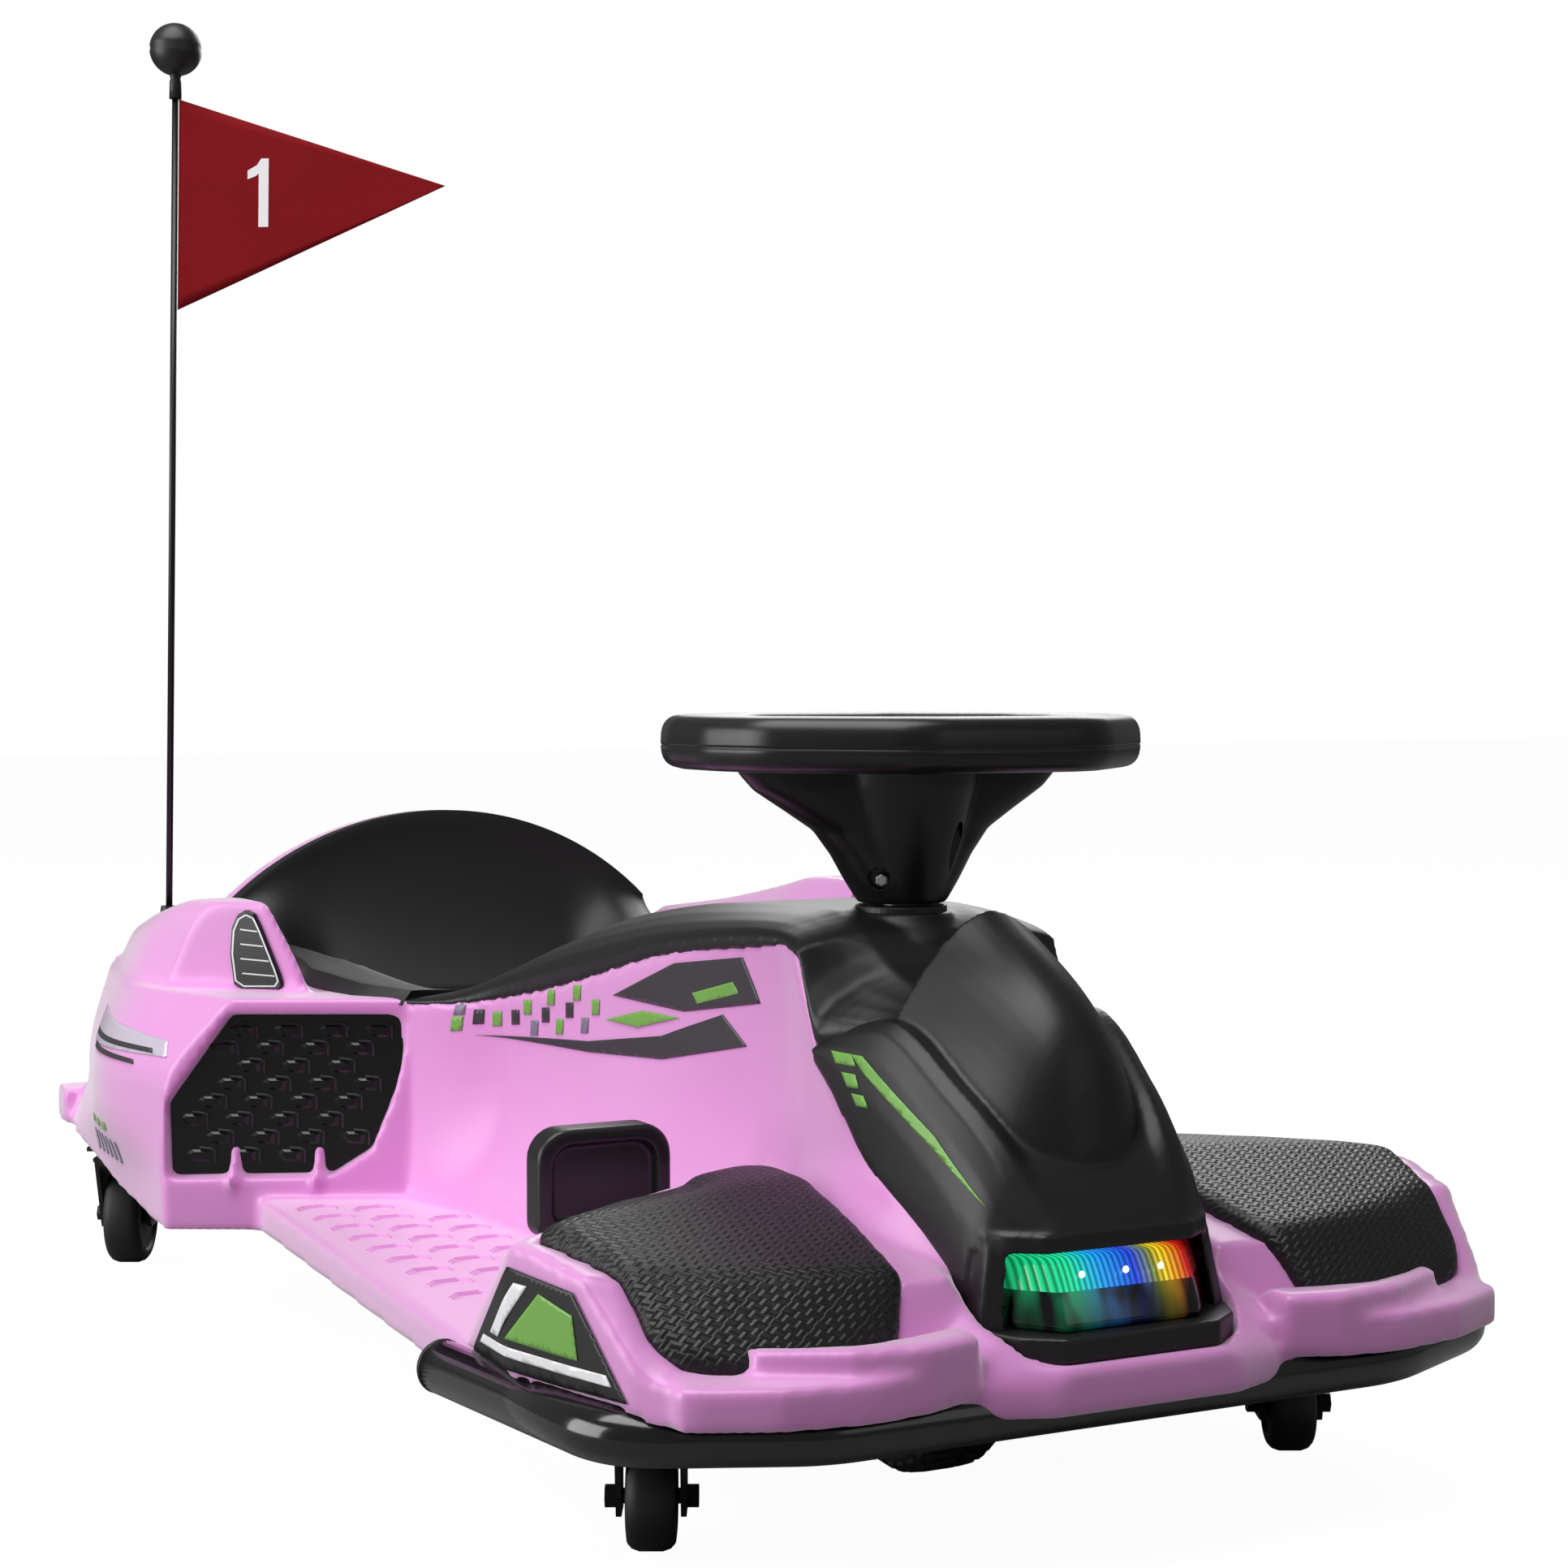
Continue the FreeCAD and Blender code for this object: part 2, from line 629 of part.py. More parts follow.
def hump_front():
    """Everything in front of the hump's swept face."""
    (x0, y0), (x1, y1) = HUMP_FACE
    slope = (y1 - y0) / (x1 - x0)
    aside = x1 - x0
    near, far = x0 - aside, x1 + aside
    return prism([(near, y0 - aside * slope), (near, -FAR), (far, -FAR), (far, y1 + aside * slope)], POD_LEDGE_Z, FAR)


def hump():
    sections = []
    for y, xo, xe, ze, xc, xi, zc, xn in HUMP:
        z0 = POD_LEDGE_Z - 2
        sections.append([V(xo, y, z0), V(xe, y, ze), V(xc, y, zc), V(xi, y, zc), V(xn, y, z0)])
    return loft(sections)


def pod():
    levels = [[V(x, y, level[0]) for x, y in pod_outline(level)] for level in POD_LEVELS]
    inner = []
    for level, lift in zip(POD_LEVELS, (-1, 0, -WALL)):
        inner.append([V(x, y, level[0] + lift) for x, y in inset(pod_outline(level), WALL)])
    room = POCKET_DEPTH + WALL
    front = slab([on_front(0, -FAR, 0), on_front(FAR, -FAR, 0), on_front(FAR, FAR, 0), on_front(0, FAR, 0)],
                 on_front(0, 0, room + WALL) - on_front(0, 0, 0))
    body = loft(levels).fuse(hump().cut(hump_front()))
    under = slab([
        V(0, POD_RISE_START, 0), V(0, POD_RISE_START, POD_BOTTOM_Z), V(0, POD_RISE_END, POD_REAR_BOTTOM_Z),
        V(0, FAR, POD_REAR_BOTTOM_Z), V(0, FAR, 0),
    ], V(FAR, 0, 0))
    body = body.cut([loft(inner).cut(front), under, front_plate(POCKET, -1, POCKET_DEPTH + 1)])
    fins = []
    for x in FIN_X:
        foot = on_front(x, POCKET[3][1] - 2, POCKET_DEPTH)
        ahead = foot + V(0, -POCKET_DEPTH, 0)
        fins.append(slab([foot, foot + V(0, 0, FIN_HEIGHT + 2), ahead + V(0, 0, 2), ahead], V(FIN_THICK, 0, 0)))
    return main_solid(body.fuse(fins).cut(bumper_step(SEAT_GAP)))


def mesh_panel(pod_solid):
    panel = front_plate(POCKET, POCKET_DEPTH - PANEL_THICK, PANEL_THICK)
    return panel.cut(pod_solid)


def vent(pod_solid):
    """Dark louvred insert on the swept face of the hump."""
    (x0, y0), (x1, y1) = HUMP_FACE
    slope = (y1 - y0) / (x1 - x0)
    out = V(slope, -1, 0).normalize()
    face = [V(x, y0 + slope * (x - x0), z) + out * VENT_THICK for x, z in VENT]
    return slab(face, out * (-2 * VENT_THICK)).cut(pod_solid)


def arch_solid(radius_extra, y0, y1):
    centre_z = ARCH_TOP - ARCH_R
    return Part.makeCylinder(ARCH_R + radius_extra, y1 - y0, V(0, y0, centre_z), V(0, 1, 0))


def seat():
    base = box(-SEAT_HALF, SEAT_HALF, POD_FRONT, SEAT_REAR_Y, SEAT_BOTTOM, SEAT_RIM_Z)
    back = arch_solid(0, PAN_REAR - BACK_TOP_THICK, SEAT_REAR_Y)
    back = back.common(box(-SEAT_BACK_HALF, SEAT_BACK_HALF, 0, TAIL_Y, SEAT_RIM_Z, FAR))
    bowl_top = ARCH_TOP + BACK_TOP_THICK
    bowl_rear = SEAT_REAR_Y - BACK_TOP_THICK
    bowl = loft([
        [V(-PAN_HALF, PAN_FRONT, PAN_Z), V(PAN_HALF, PAN_FRONT, PAN_Z),
         V(PAN_HALF, PAN_REAR, PAN_Z), V(-PAN_HALF, PAN_REAR, PAN_Z)],
        [V(-BOWL_HALF, BOWL_FRONT, bowl_top), V(BOWL_HALF, BOWL_FRONT, bowl_top),
         V(BOWL_HALF, bowl_rear, bowl_top), V(-BOWL_HALF, bowl_rear, bowl_top)],
    ])
    return base.fuse(back).cut(bowl).removeSplitter()


def bumper_step(grow):
    z0, z1 = STEP_Z
    half = STEP_HALF + grow
    plan = [(-half, STEP_Y - grow), (half, STEP_Y - grow), (half - WALL, TAIL_Y), (WALL - half, TAIL_Y)]
    return prism(plan, z0 - grow, z1 + grow)


def rear_shell():
    front, back = SHELL_HALF
    plan = [(-front, SEAT_REAR_Y), (front, SEAT_REAR_Y), (back, TAIL_Y), (-back, TAIL_Y)]
    arch = arch_solid(0, SEAT_REAR_Y, TAIL_Y)
    arch = arch.common(prism(plan, POD_LEDGE_Z - 1, FAR))
    return prism(plan, SHELL_BOTTOM_Z, POD_LEDGE_Z).fuse([arch, bumper_step(0)]).removeSplitter()


def ring_plan(extra):
    """Outline of the steering rim moved inwards by extra."""
    quarter = [(x, y) for x, y in RIM_QUARTER]
    right = [(x, -y) for x, y in reversed(quarter)] + quarter
    outline = right + [(-x, y) for x, y in reversed(quarter)] + [(-x, -y) for x, y in quarter]
    return [(x, y + STEER_Y) for x, y in inset(outline, extra)]


def ring_solid(extra, chamfer):
    low, high = RIM_BOTTOM + abs(chamfer), RIM_TOP - abs(chamfer)
    levels = ((RIM_BOTTOM, chamfer), (low, 0.0), (high, 0.0), (RIM_TOP, chamfer))
    return loft([[V(x, y, z) for x, y in ring_plan(extra + more)] for z, more in levels])


def steering_rim():
    return ring_solid(0.0, RIM_CHAMFER).cut(ring_solid(RIM_WIDTH, -RIM_CHAMFER))


def steering_hub(rim):
    cone = bar(V(0, STEER_Y, HUB_BOTTOM), UP, RIM_BOTTOM - HUB_BOTTOM, HUB_NECK_R, HUB_TOP_R)
    profile = [(-WING_HALF, RIM_BOTTOM), (-WING_KNEE, WING_KNEE_Z), (-HUB_NECK_R, HUB_BOTTOM),
               (HUB_NECK_R, HUB_BOTTOM), (WING_KNEE, WING_KNEE_Z), (WING_HALF, RIM_BOTTOM)]
    wing = slab([V(x, STEER_Y - WING_THICK / 2, z) for x, z in profile], V(0, WING_THICK, 0))
    reach = RIM_QUARTER[0][0] - RIM_WIDTH + RIM_CHAMFER
    half = SPOKE_WIDTH / 2
    spoke = box(-reach, reach, STEER_Y - half, STEER_Y + half, RIM_BOTTOM, RIM_TOP - RIM_CHAMFER)
    boss = bar(V(0, STEER_Y, RIM_BOTTOM), UP, HUB_BOSS, HUB_TOP_R)
    hub = cone.fuse([wing, spoke, boss]).cut(rim)
    bore = Part.makeCylinder(SHAFT_R, RIM_BOTTOM - HUB_BOTTOM, V(0, STEER_Y, HUB_BOTTOM - 1))
    return hub.cut(bore).removeSplitter()


def steering_shaft():
    foot = CROWN_BOTTOM + CROWN_THICK
    return Part.makeCylinder(SHAFT_R, RIM_BOTTOM - 1 - foot, V(0, STEER_Y, foot))


def collar_outside(grow):
    """Outside of the column collar and its sleeve, grown for the hole that it passes through."""
    foot = COLLAR_BOTTOM - grow
    flange = bar(V(0, STEER_Y, foot), UP, COLLAR_TOP - foot, COLLAR_R + grow)
    sleeve = bar(V(0, STEER_Y, COLUMN_BOTTOM), UP, COLLAR_TOP - COLUMN_BOTTOM, COLUMN_R + grow)
    return flange.fuse(sleeve)


def column_collar():
    bore = Part.makeCylinder(SHAFT_R + RUN_FIT, COLLAR_TOP, V(0, STEER_Y, 0))
    return collar_outside(0).cut(bore).removeSplitter()


def fork():
    leg_x = DRIVE_WIDTH / 2 + FORK_GAP
    crown = box(-leg_x - FORK_THICK, leg_x + FORK_THICK, DRIVE_Y - FORK_HALF, STEER_Y + FORK_HALF,
                CROWN_BOTTOM, CROWN_BOTTOM + CROWN_THICK)
    leg_y0, leg_y1 = DRIVE_Y - FORK_HALF, DRIVE_Y + FORK_HALF
    leg = box(leg_x, leg_x + FORK_THICK, leg_y0, leg_y1, DRIVE_R - FORK_HALF, CROWN_BOTTOM)
    axle_half = leg_x + FORK_THICK + FORK_GAP
    axle = Part.makeCylinder(AXLE_R, 2 * axle_half, V(-axle_half, DRIVE_Y, DRIVE_R), LEFT)
    return crown.fuse([leg, mirrored(leg), axle]).removeSplitter()


def drive_wheel():
    """Tyre with chamfered shoulders, and the wheel inside it."""
    half = DRIVE_WIDTH / 2
    flat = half - TYRE_CHAMFER
    across = 1 / math.cos(math.pi / TYRE_SIDES)
    rings = []
    for x, cut in ((-half, TYRE_CHAMFER), (-flat, 0), (flat, 0), (half, TYRE_CHAMFER)):
        rings.append(ring_at(V(x, DRIVE_Y, DRIVE_R), LEFT, (DRIVE_R - cut) * across, TYRE_SIDES))
    ends = [V(x, DRIVE_Y, DRIVE_R) for x in (-half, half)]
    hub = loft([ring_at(end, LEFT, DRIVE_HUB_R, TYRE_SIDES) for end in ends])
    bore = Part.makeCylinder(AXLE_R + RUN_FIT, DRIVE_WIDTH + 2, V(-half - 1, DRIVE_Y, DRIVE_R), LEFT)
    return loft(rings).cut(hub), hub.cut(bore)


def turned(shape, x, y):
    return shape.rotate(V(x, y, 0), V(0, 0, 1), CASTER_TURN)


def caster(row, side):
    name, px, py, radius, width, trail, top = row
    px = px * side
    half = CASTER_PLATE / 2
    plate = box(px - half, px + half, py - half, py + half, top - CASTER_PLATE_THICK, top)
    cup_z = top - CASTER_PLATE_THICK - CASTER_CUP_DEPTH
    cup = bar(V(px, py, cup_z), UP, CASTER_CUP_DEPTH, width / 2)
    socket = Part.makeCylinder(KINGPIN_R + RUN_FIT, top - cup_z - 1, V(px, py, cup_z - 1))
    mount = plate.fuse(cup).cut(socket).removeSplitter()
    leg_x = width / 2 + CASTER_SIDE_GAP
    crown_z = cup_z - SEAT_GAP
    side_x = leg_x + CASTER_FORK_THICK
    crown_front, crown_rear = py - half * 0.7, py + half * 0.8
    crown = box(px - side_x, px + side_x, crown_front, crown_rear, crown_z - CASTER_FORK_THICK, crown_z)
    kingpin = Part.makeCylinder(KINGPIN_R, top - 3 - crown_z, V(px, py, crown_z))
    boss = radius - 2 * CASTER_PIN_R
    legs = []
    for x0 in (px + leg_x, px - side_x):
        legs.append(slab([V(x0, py - half * 0.6, crown_z), V(x0, py + trail + boss / 2, crown_z),
                          V(x0, py + trail + boss / 2, boss), V(x0, py + trail - boss / 2, boss)],
                         V(CASTER_FORK_THICK, 0, 0)))
    pin = Part.makeCylinder(CASTER_PIN_R, 2 * leg_x, V(px - leg_x, py + trail, radius), LEFT)
    for x0 in (px - side_x - CASTER_PIN_OUT, px + side_x):
        nut = []
        for i in range(6):
            turn = math.pi * i / 3
            nut.append(V(x0, py + trail + NUT_R * math.cos(turn), radius + NUT_R * math.sin(turn)))
        legs.append(slab(nut, V(CASTER_PIN_OUT, 0, 0)))
    fork_solid = crown.fuse(legs + [pin, kingpin]).removeSplitter()
    wheel = Part.makeCylinder(radius, width, V(px - width / 2, py + trail, radius), LEFT)
    bore_x = px - width / 2 - 1
    bore = Part.makeCylinder(CASTER_PIN_R + RUN_FIT, width + 2, V(bore_x, py + trail, radius), LEFT)
    wheel = wheel.cut(bore)
    return turned(mount, px, py), turned(fork_solid, px, py), turned(wheel, px, py)


def pedal(footrest_solid):
    """Upright pad leaning on the back of the foot rest, with an arm down to the floor board."""
    x0, x1 = PEDAL_X - PEDAL_WIDTH / 2, PEDAL_X + PEDAL_WIDTH / 2
    y1 = PEDAL_Y + PEDAL_THICK
    cut = PEDAL_CUT
    plate = slab([
        V(x0, PEDAL_Y, PEDAL_BOTTOM), V(x1, PEDAL_Y, PEDAL_BOTTOM), V(x1, PEDAL_Y, PEDAL_TOP - cut),
        V(x1 - cut, PEDAL_Y, PEDAL_TOP), V(x0 + cut, PEDAL_Y, PEDAL_TOP), V(x0, PEDAL_Y, PEDAL_TOP - cut),
    ], V(0, PEDAL_THICK, 0))
    half = PEDAL_ARM / 2
    arm = slab([
        V(PEDAL_X - half, PEDAL_Y, PEDAL_BOTTOM + PEDAL_ARM), V(PEDAL_X - half, PEDAL_Y - PEDAL_ARM, FOOTREST_TOP),
        V(PEDAL_X - half, PEDAL_Y - PEDAL_ARM, PEDAL_BOTTOM), V(PEDAL_X - half, PEDAL_Y, FLOOR_TOP),
        V(PEDAL_X - half, PEDAL_FOOT_Y, FLOOR_TOP), V(PEDAL_X - half, y1, PEDAL_BOTTOM),
    ], V(PEDAL_ARM, 0, 0))
    return plate.fuse(arm).cut(footrest_solid).removeSplitter()


def flag():
    fx, fy = FLAG_FOOT
    foot = V(fx, fy, FLAG_FOOT_Z)
    top = V(fx + FLAG_LEAN[0], fy + FLAG_LEAN[1], BALL_Z)
    along = top - foot
    length = along.Length
    along.normalize()
    socket = bar(foot - along * (SOCKET_LENGTH / 2), along, SOCKET_LENGTH, SOCKET_R[0], SOCKET_R[1])
    socket = socket.cut(Part.makeCylinder(POLE_R, length, foot, along))
    pole = Part.makeCylinder(POLE_R, length - BALL_R, foot, along)
    ball = flag_ball(top)
    ferrule = bar(top - along * (BALL_R + FERRULE_LENGTH - POLE_R), along, FERRULE_LENGTH, FERRULE_R)
    ball = ball.fuse(ferrule).cut(pole).removeSplitter()

    def on_pole(z):
        return foot + along * ((z - FLAG_FOOT_Z) / along.z)

    out = V(math.cos(math.radians(FLAG_TURN)), math.sin(math.radians(FLAG_TURN)), 0)
    side = V(-out.y, out.x, 0)
    a = on_pole(FLAG_TOP) + out * (POLE_R + SEAT_GAP)
    b = on_pole(FLAG_TOP - FLAG_HEIGHT) + out * (POLE_R + SEAT_GAP)
    tip = on_pole(FLAG_TOP - FLAG_HEIGHT * FLAG_TIP_DROP) + out * FLAG_LENGTH
    back = side * (-FLAG_THICK / 2)
    cloth = slab([a + back, tip + back, b + back], side * FLAG_THICK)
    return socket, pole, ball, cloth


def flag_ball(centre):
    """Ball of flat facets in rings."""
    rings = []
    for tilt in (-80, -50, -20, 20, 50, 80):
        r = BALL_R * math.cos(math.radians(tilt)) / math.cos(math.radians(18))
        z = BALL_R * math.sin(math.radians(tilt)) / math.sin(math.radians(80))
        rings.append(ring_at(centre + V(0, 0, z), UP, r, BALL_SIDES))
    return loft(rings)


def button():
    base_z = BUTTON_TOP - WALL - BUTTON_BASE_HEIGHT
    base_r = BUTTON_R + BUTTON_BASE_MARGIN
    base = bar(V(0, BUTTON_Y, base_z), UP, BUTTON_BASE_HEIGHT, base_r)
    knob = bar(V(0, BUTTON_Y, BUTTON_TOP - WALL), UP, WALL, BUTTON_R)
    return base, knob


def battery():
    bx, by, bz = BATTERY
    half = by / 2 + TRAY_MARGIN
    reach = RAIL_X - RAIL_WIDTH / 2
    tray = box(-reach, reach, BATTERY_Y - half, BATTERY_Y + half, RAIL_TOP - TRAY_THICK, RAIL_TOP)
    block = box(-bx / 2, bx / 2, BATTERY_Y - by / 2, BATTERY_Y + by / 2, RAIL_TOP, RAIL_TOP + bz)
    return tray, block


os.makedirs("parts", exist_ok=True)

save("bumper_tube", tube_solid(TUBE_R, ROUND_SIDES))
save("tube_caps", tube_caps())
outer = fuselage_outer()
save("fuselage_shell", fuselage(outer))
hood_solid = hood(outer)
save("hood", hood_solid)
cover_solid = cover(outer, hood_solid)
save("centre_cover", cover_solid)
lens, lip = lamp()
save("lamp_lens", lens)
save("lamp_lip", lip.cut(hood_solid))
pad_solid = pad(outer)
footrest_solid = footrest(outer, pad_solid)
board_solid = floor_board(outer)
pod_solid = pod()
panel_solid = mesh_panel(pod_solid)
vent_solid = vent(pod_solid)
rail_solid = rail()
bracket_solid = caster_bracket()
for side, name in ((-1, "right"), (1, "left")):
    save("foot_pad_" + name, side_copy(pad_solid, side))
    save("footrest_" + name, side_copy(footrest_solid, side))
    save("floor_board_" + name, side_copy(board_solid, side))
    save("pod_" + name, side_copy(pod_solid, side))
    save("mesh_panel_" + name, side_copy(panel_solid, side))
    save("vent_" + name, side_copy(vent_solid, side))
    save("rail_" + name, side_copy(rail_solid, side))
    save("caster_bracket_" + name, side_copy(bracket_solid, side))
save("cross_rear", cross_rear())
save("cross_mid", cross_mid())
save("seat", seat())
save("rear_shell", rear_shell())
tray, block = battery()
save("battery_tray", tray)
save("battery_block", block)
save("pedal", mirrored(pedal(footrest_solid.fuse(pad_solid))))
base, knob = button()
save("button_base", main_solid(base.cut(cover_solid)))
save("power_button", knob)
pod_right = mirrored(pod_solid)
socket, pole, ball, cloth = flag()
save("flag_socket", socket.cut(pod_right))
save("flag_pole", pole.cut(pod_right))
save("flag_ball", ball)
save("flag_cloth", cloth)
save("column_collar", column_collar())
rim = steering_rim()
save("steering_rim", rim)
save("steering_hub", steering_hub(rim))
save("steering_shaft", steering_shaft())
save("drive_fork", fork())
tyre, wheel_hub = drive_wheel()
save("drive_tyre", tyre)
save("drive_hub", wheel_hub)
for row in CASTERS:
    mounts = []
    for side, name in ((-1, "right"), (1, "left")):
        mount, fork_solid, wheel = caster(row, side)
        mounts.append(mount)
        save("caster_fork_" + row[0] + "_" + name, fork_solid)
        save("caster_wheel_" + row[0] + "_" + name, wheel)
    save("caster_mounts_" + row[0], Part.Compound(mounts))
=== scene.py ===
import math
import bpy
import bmesh
from mathutils import Matrix, Vector
from mathutils.bvhtree import BVHTree


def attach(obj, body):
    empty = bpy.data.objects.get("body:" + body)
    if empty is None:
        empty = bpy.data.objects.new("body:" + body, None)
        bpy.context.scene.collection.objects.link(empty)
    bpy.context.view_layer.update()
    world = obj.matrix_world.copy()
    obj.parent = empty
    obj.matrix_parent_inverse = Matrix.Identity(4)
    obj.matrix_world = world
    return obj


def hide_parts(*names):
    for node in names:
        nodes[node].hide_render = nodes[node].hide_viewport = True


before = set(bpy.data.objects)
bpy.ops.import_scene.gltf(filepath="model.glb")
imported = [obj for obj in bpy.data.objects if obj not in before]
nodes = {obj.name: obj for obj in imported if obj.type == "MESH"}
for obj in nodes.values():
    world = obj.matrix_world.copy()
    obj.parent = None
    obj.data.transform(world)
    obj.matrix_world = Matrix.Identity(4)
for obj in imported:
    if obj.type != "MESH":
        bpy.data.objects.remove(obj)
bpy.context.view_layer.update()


# Camera: stands ahead of the kart on the rider's right, a little above the seat, and looks slightly down.
# The lens is a short telephoto on a 36 mm sensor.
camera_data = bpy.data.cameras.new("camera")
camera_data.sensor_width = 36.0
camera_data.lens = 63.35
camera = bpy.data.objects.new("camera", camera_data)
camera.location = (-0.7716, -1.6276, 0.4421)
camera.rotation_euler = (math.radians(90 - 2.122), 0, math.radians(-27.177))
bpy.context.scene.collection.objects.link(camera)
bpy.context.scene.camera = camera


# Underframe: a bent steel bumper tube with plugged ends, two flat rails and cross tubes, all welded and then
# powder coated gloss black. The battery sits in a folded tray between the rails.
MM = 0.001
UP = Vector((0, 0, 1))
LEFT = Vector((1, 0, 0))


def linear(code):
    """Linear colour from an sRGB hex value."""
    parts = [int(code[i:i + 2], 16) / 255 for i in (1, 3, 5)]
    return (*(c / 12.92 if c <= 0.04045 else ((c + 0.055) / 1.055) ** 2.4 for c in parts), 1.0)


def node(tree, kind, inputs=None, **settings):
    """Add a shader node, set it and link what its inputs name."""
    made = tree.nodes.new(kind)
    for name, value in settings.items():
        setattr(made, name, value)
    for name, value in (inputs or {}).items():
        if isinstance(value, bpy.types.NodeSocket):
            tree.links.new(value, made.inputs[name])
        else:
            made.inputs[name].default_value = value
    return made


def new_material(name):
    """Empty material, its tree and its object coordinates in metres."""
    material = bpy.data.materials.new(name)
    material.use_nodes = True
    material.node_tree.nodes.clear()
    tree = material.node_tree
    return material, tree, node(tree, "ShaderNodeTexCoord").outputs["Object"]


def finish(tree, surface):
    """Show a shader as the material's surface."""
    node(tree, "ShaderNodeOutputMaterial", {"Surface": surface.outputs[0]})


def grained(name, dark, light, roughness, grain_mm, depth_mm, metallic=0.0, coat=0.0, sheen=0.0):
    """A surface whose tone drifts over centimetres, with a fine grain in its gloss and height."""
    material, tree, place = new_material(name)
    drift = node(tree, "ShaderNodeTexNoise", {"Vector": place, "Scale": 9.0, "Detail": 2.0})
    tone = node(tree, "ShaderNodeMix", {
        0: drift.outputs["Fac"], 6: linear(dark), 7: linear(light)}, data_type="RGBA")
    grain = node(tree, "ShaderNodeTexNoise", {"Vector": place, "Scale": 1.0 / (grain_mm * MM), "Detail": 3.0})
    gloss = node(tree, "ShaderNodeMapRange", {
        "Value": grain.outputs["Fac"], "To Min": roughness - 0.06, "To Max": roughness + 0.06})
    bump = node(tree, "ShaderNodeBump", {
        "Height": grain.outputs["Fac"], "Strength": 0.5, "Distance": depth_mm * MM})
    finish(tree, node(tree, "ShaderNodeBsdfPrincipled", {
        "Base Color": tone.outputs[2], "Roughness": gloss.outputs[0], "Normal": bump.outputs[0],
        "IOR": 1.5, "Metallic": metallic, "Coat Weight": coat, "Coat Roughness": 0.12,
        "Sheen Weight": sheen, "Sheen Roughness": 0.5}))
    return material


def add_piece(name, mesh, material, body="chassis", smooth=True):
    """Make an object from a bmesh in metres and let it ride on a body."""
    data = bpy.data.meshes.new(name)
    bmesh.ops.recalc_face_normals(mesh, faces=mesh.faces)
    mesh.to_mesh(data)
    mesh.free()
    data.materials.clear()
    data.materials.append(material)
    for polygon in data.polygons:
        polygon.use_smooth = smooth
        polygon.material_index = 0
    piece = bpy.data.objects.new(name, data)
    bpy.context.scene.collection.objects.link(piece)
    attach(piece, body)
    return piece


def skin(mesh, rings):
    """Add a closed skin through rings of points in millimetres, with a cap on each end."""
    loops = [[mesh.verts.new(Vector(p) * MM) for p in ring] for ring in rings]
    for lower, upper in zip(loops, loops[1:]):
        for i in range(len(lower)):
            mesh.faces.new((lower[i - 1], lower[i], upper[i], upper[i - 1]))
    mesh.faces.new(loops[0])
    mesh.faces.new(list(reversed(loops[-1])))


def ring_at(centre, along, radius, sides=32):
    """Circle of points about a centre, square to a direction."""
    side = along.cross(UP) if abs(along.z) < 0.9 else LEFT - along * along.x
    side.normalize()
    up = side.cross(along)
    turns = [2 * math.pi * (i + 0.5) / sides for i in range(sides)]
    return [centre + side * (radius * math.cos(t)) + up * (radius * math.sin(t)) for t in turns]


def lathed(mesh, start, along, profile, sides=32):
    """Add a turned solid: profile pairs are the distance along the axis and the radius, in millimetres."""
    skin(mesh, [ring_at(start + along * place, along, radius, sides) for place, radius in profile])


def rounded_path(corners, bends, steps=9):
    """Points along straight lengths joined by tangent arcs."""
    points = [corners[0]]
    for before, corner, after, bend in zip(corners, corners[1:], corners[2:], bends):
        into, away = (corner - before).normalized(), (after - corner).normalized()
        turn = into.angle(away)
        tangent = bend * math.tan(turn / 2)
        centre = corner + (away - into).normalized() * (bend / math.cos(turn / 2))
        arm = corner - into * tangent - centre
        axis = into.cross(away).normalized()
        points += [centre + Matrix.Rotation(turn * k / steps, 3, axis) @ arm for k in range(steps + 1)]
    return points + [corners[-1]]


def swept(mesh, points, radius):
    """Add a round bar along points."""
    tangents = [(b - a).normalized() for a, b in zip(points, points[1:])]
    joints = [tangents[0]] + [(a + b).normalized() for a, b in zip(tangents, tangents[1:])] + [tangents[-1]]
    skin(mesh, [ring_at(p, t, radius) for p, t in zip(points, joints)])


def soften(piece, width_mm, **settings):
    """Bevel the edges of a piece."""
    edge = piece.modifiers.new("edge", "BEVEL")
    edge.width = width_mm * MM
    for name, value in settings.items():
        setattr(edge, name, value)


def dress(name, material, bevel_mm=0.0):
    """Give a CAD node its material and soft edges."""
    shown = nodes[name]
    shown.data.materials.clear()
    shown.data.materials.append(material)
    if bevel_mm:
        soften(shown, bevel_mm, segments=2, limit_method="ANGLE", harden_normals=True)


TUBE_RADIUS = 14
TUBE_Z = 88
TUBE_HALF = ((282, -288), (259, -453), (168, -494))
TUBE_BENDS = (45, 80, 80, 45)
# baked powder coat: a deep black gloss with a faint orange peel
powder_coat = grained("steel_powder_coat_gloss_black", "#0E0E0F", "#121213", 0.16, 3.0, 0.03, coat=0.6)
# moulded polyethylene: waxy black with a low sheen
black_plug = grained("black_polyethylene_moulded", "#161617", "#1B1B1C", 0.42, 0.8, 0.02)
corners = [Vector((-x, y, TUBE_Z)) for x, y in TUBE_HALF]
corners += [Vector((x, y, TUBE_Z)) for x, y in reversed(TUBE_HALF)]
mesh = bmesh.new()
swept(mesh, rounded_path(corners, TUBE_BENDS), TUBE_RADIUS)
tube = add_piece("bumper_tube_bent", mesh, powder_coat)
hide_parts("bumper_tube")
mesh = bmesh.new()
for end, inner in ((corners[0], corners[1]), (corners[-1], corners[-2])):
    out = (end - inner).normalized()
    lathed(mesh, end, out, ((0, 14.2), (2, 14.3), (4, 13.4), (5.4, 11), (5.9, 7)))
plugs = add_piece("tube_plugs", mesh, black_plug)
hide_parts("tube_caps")
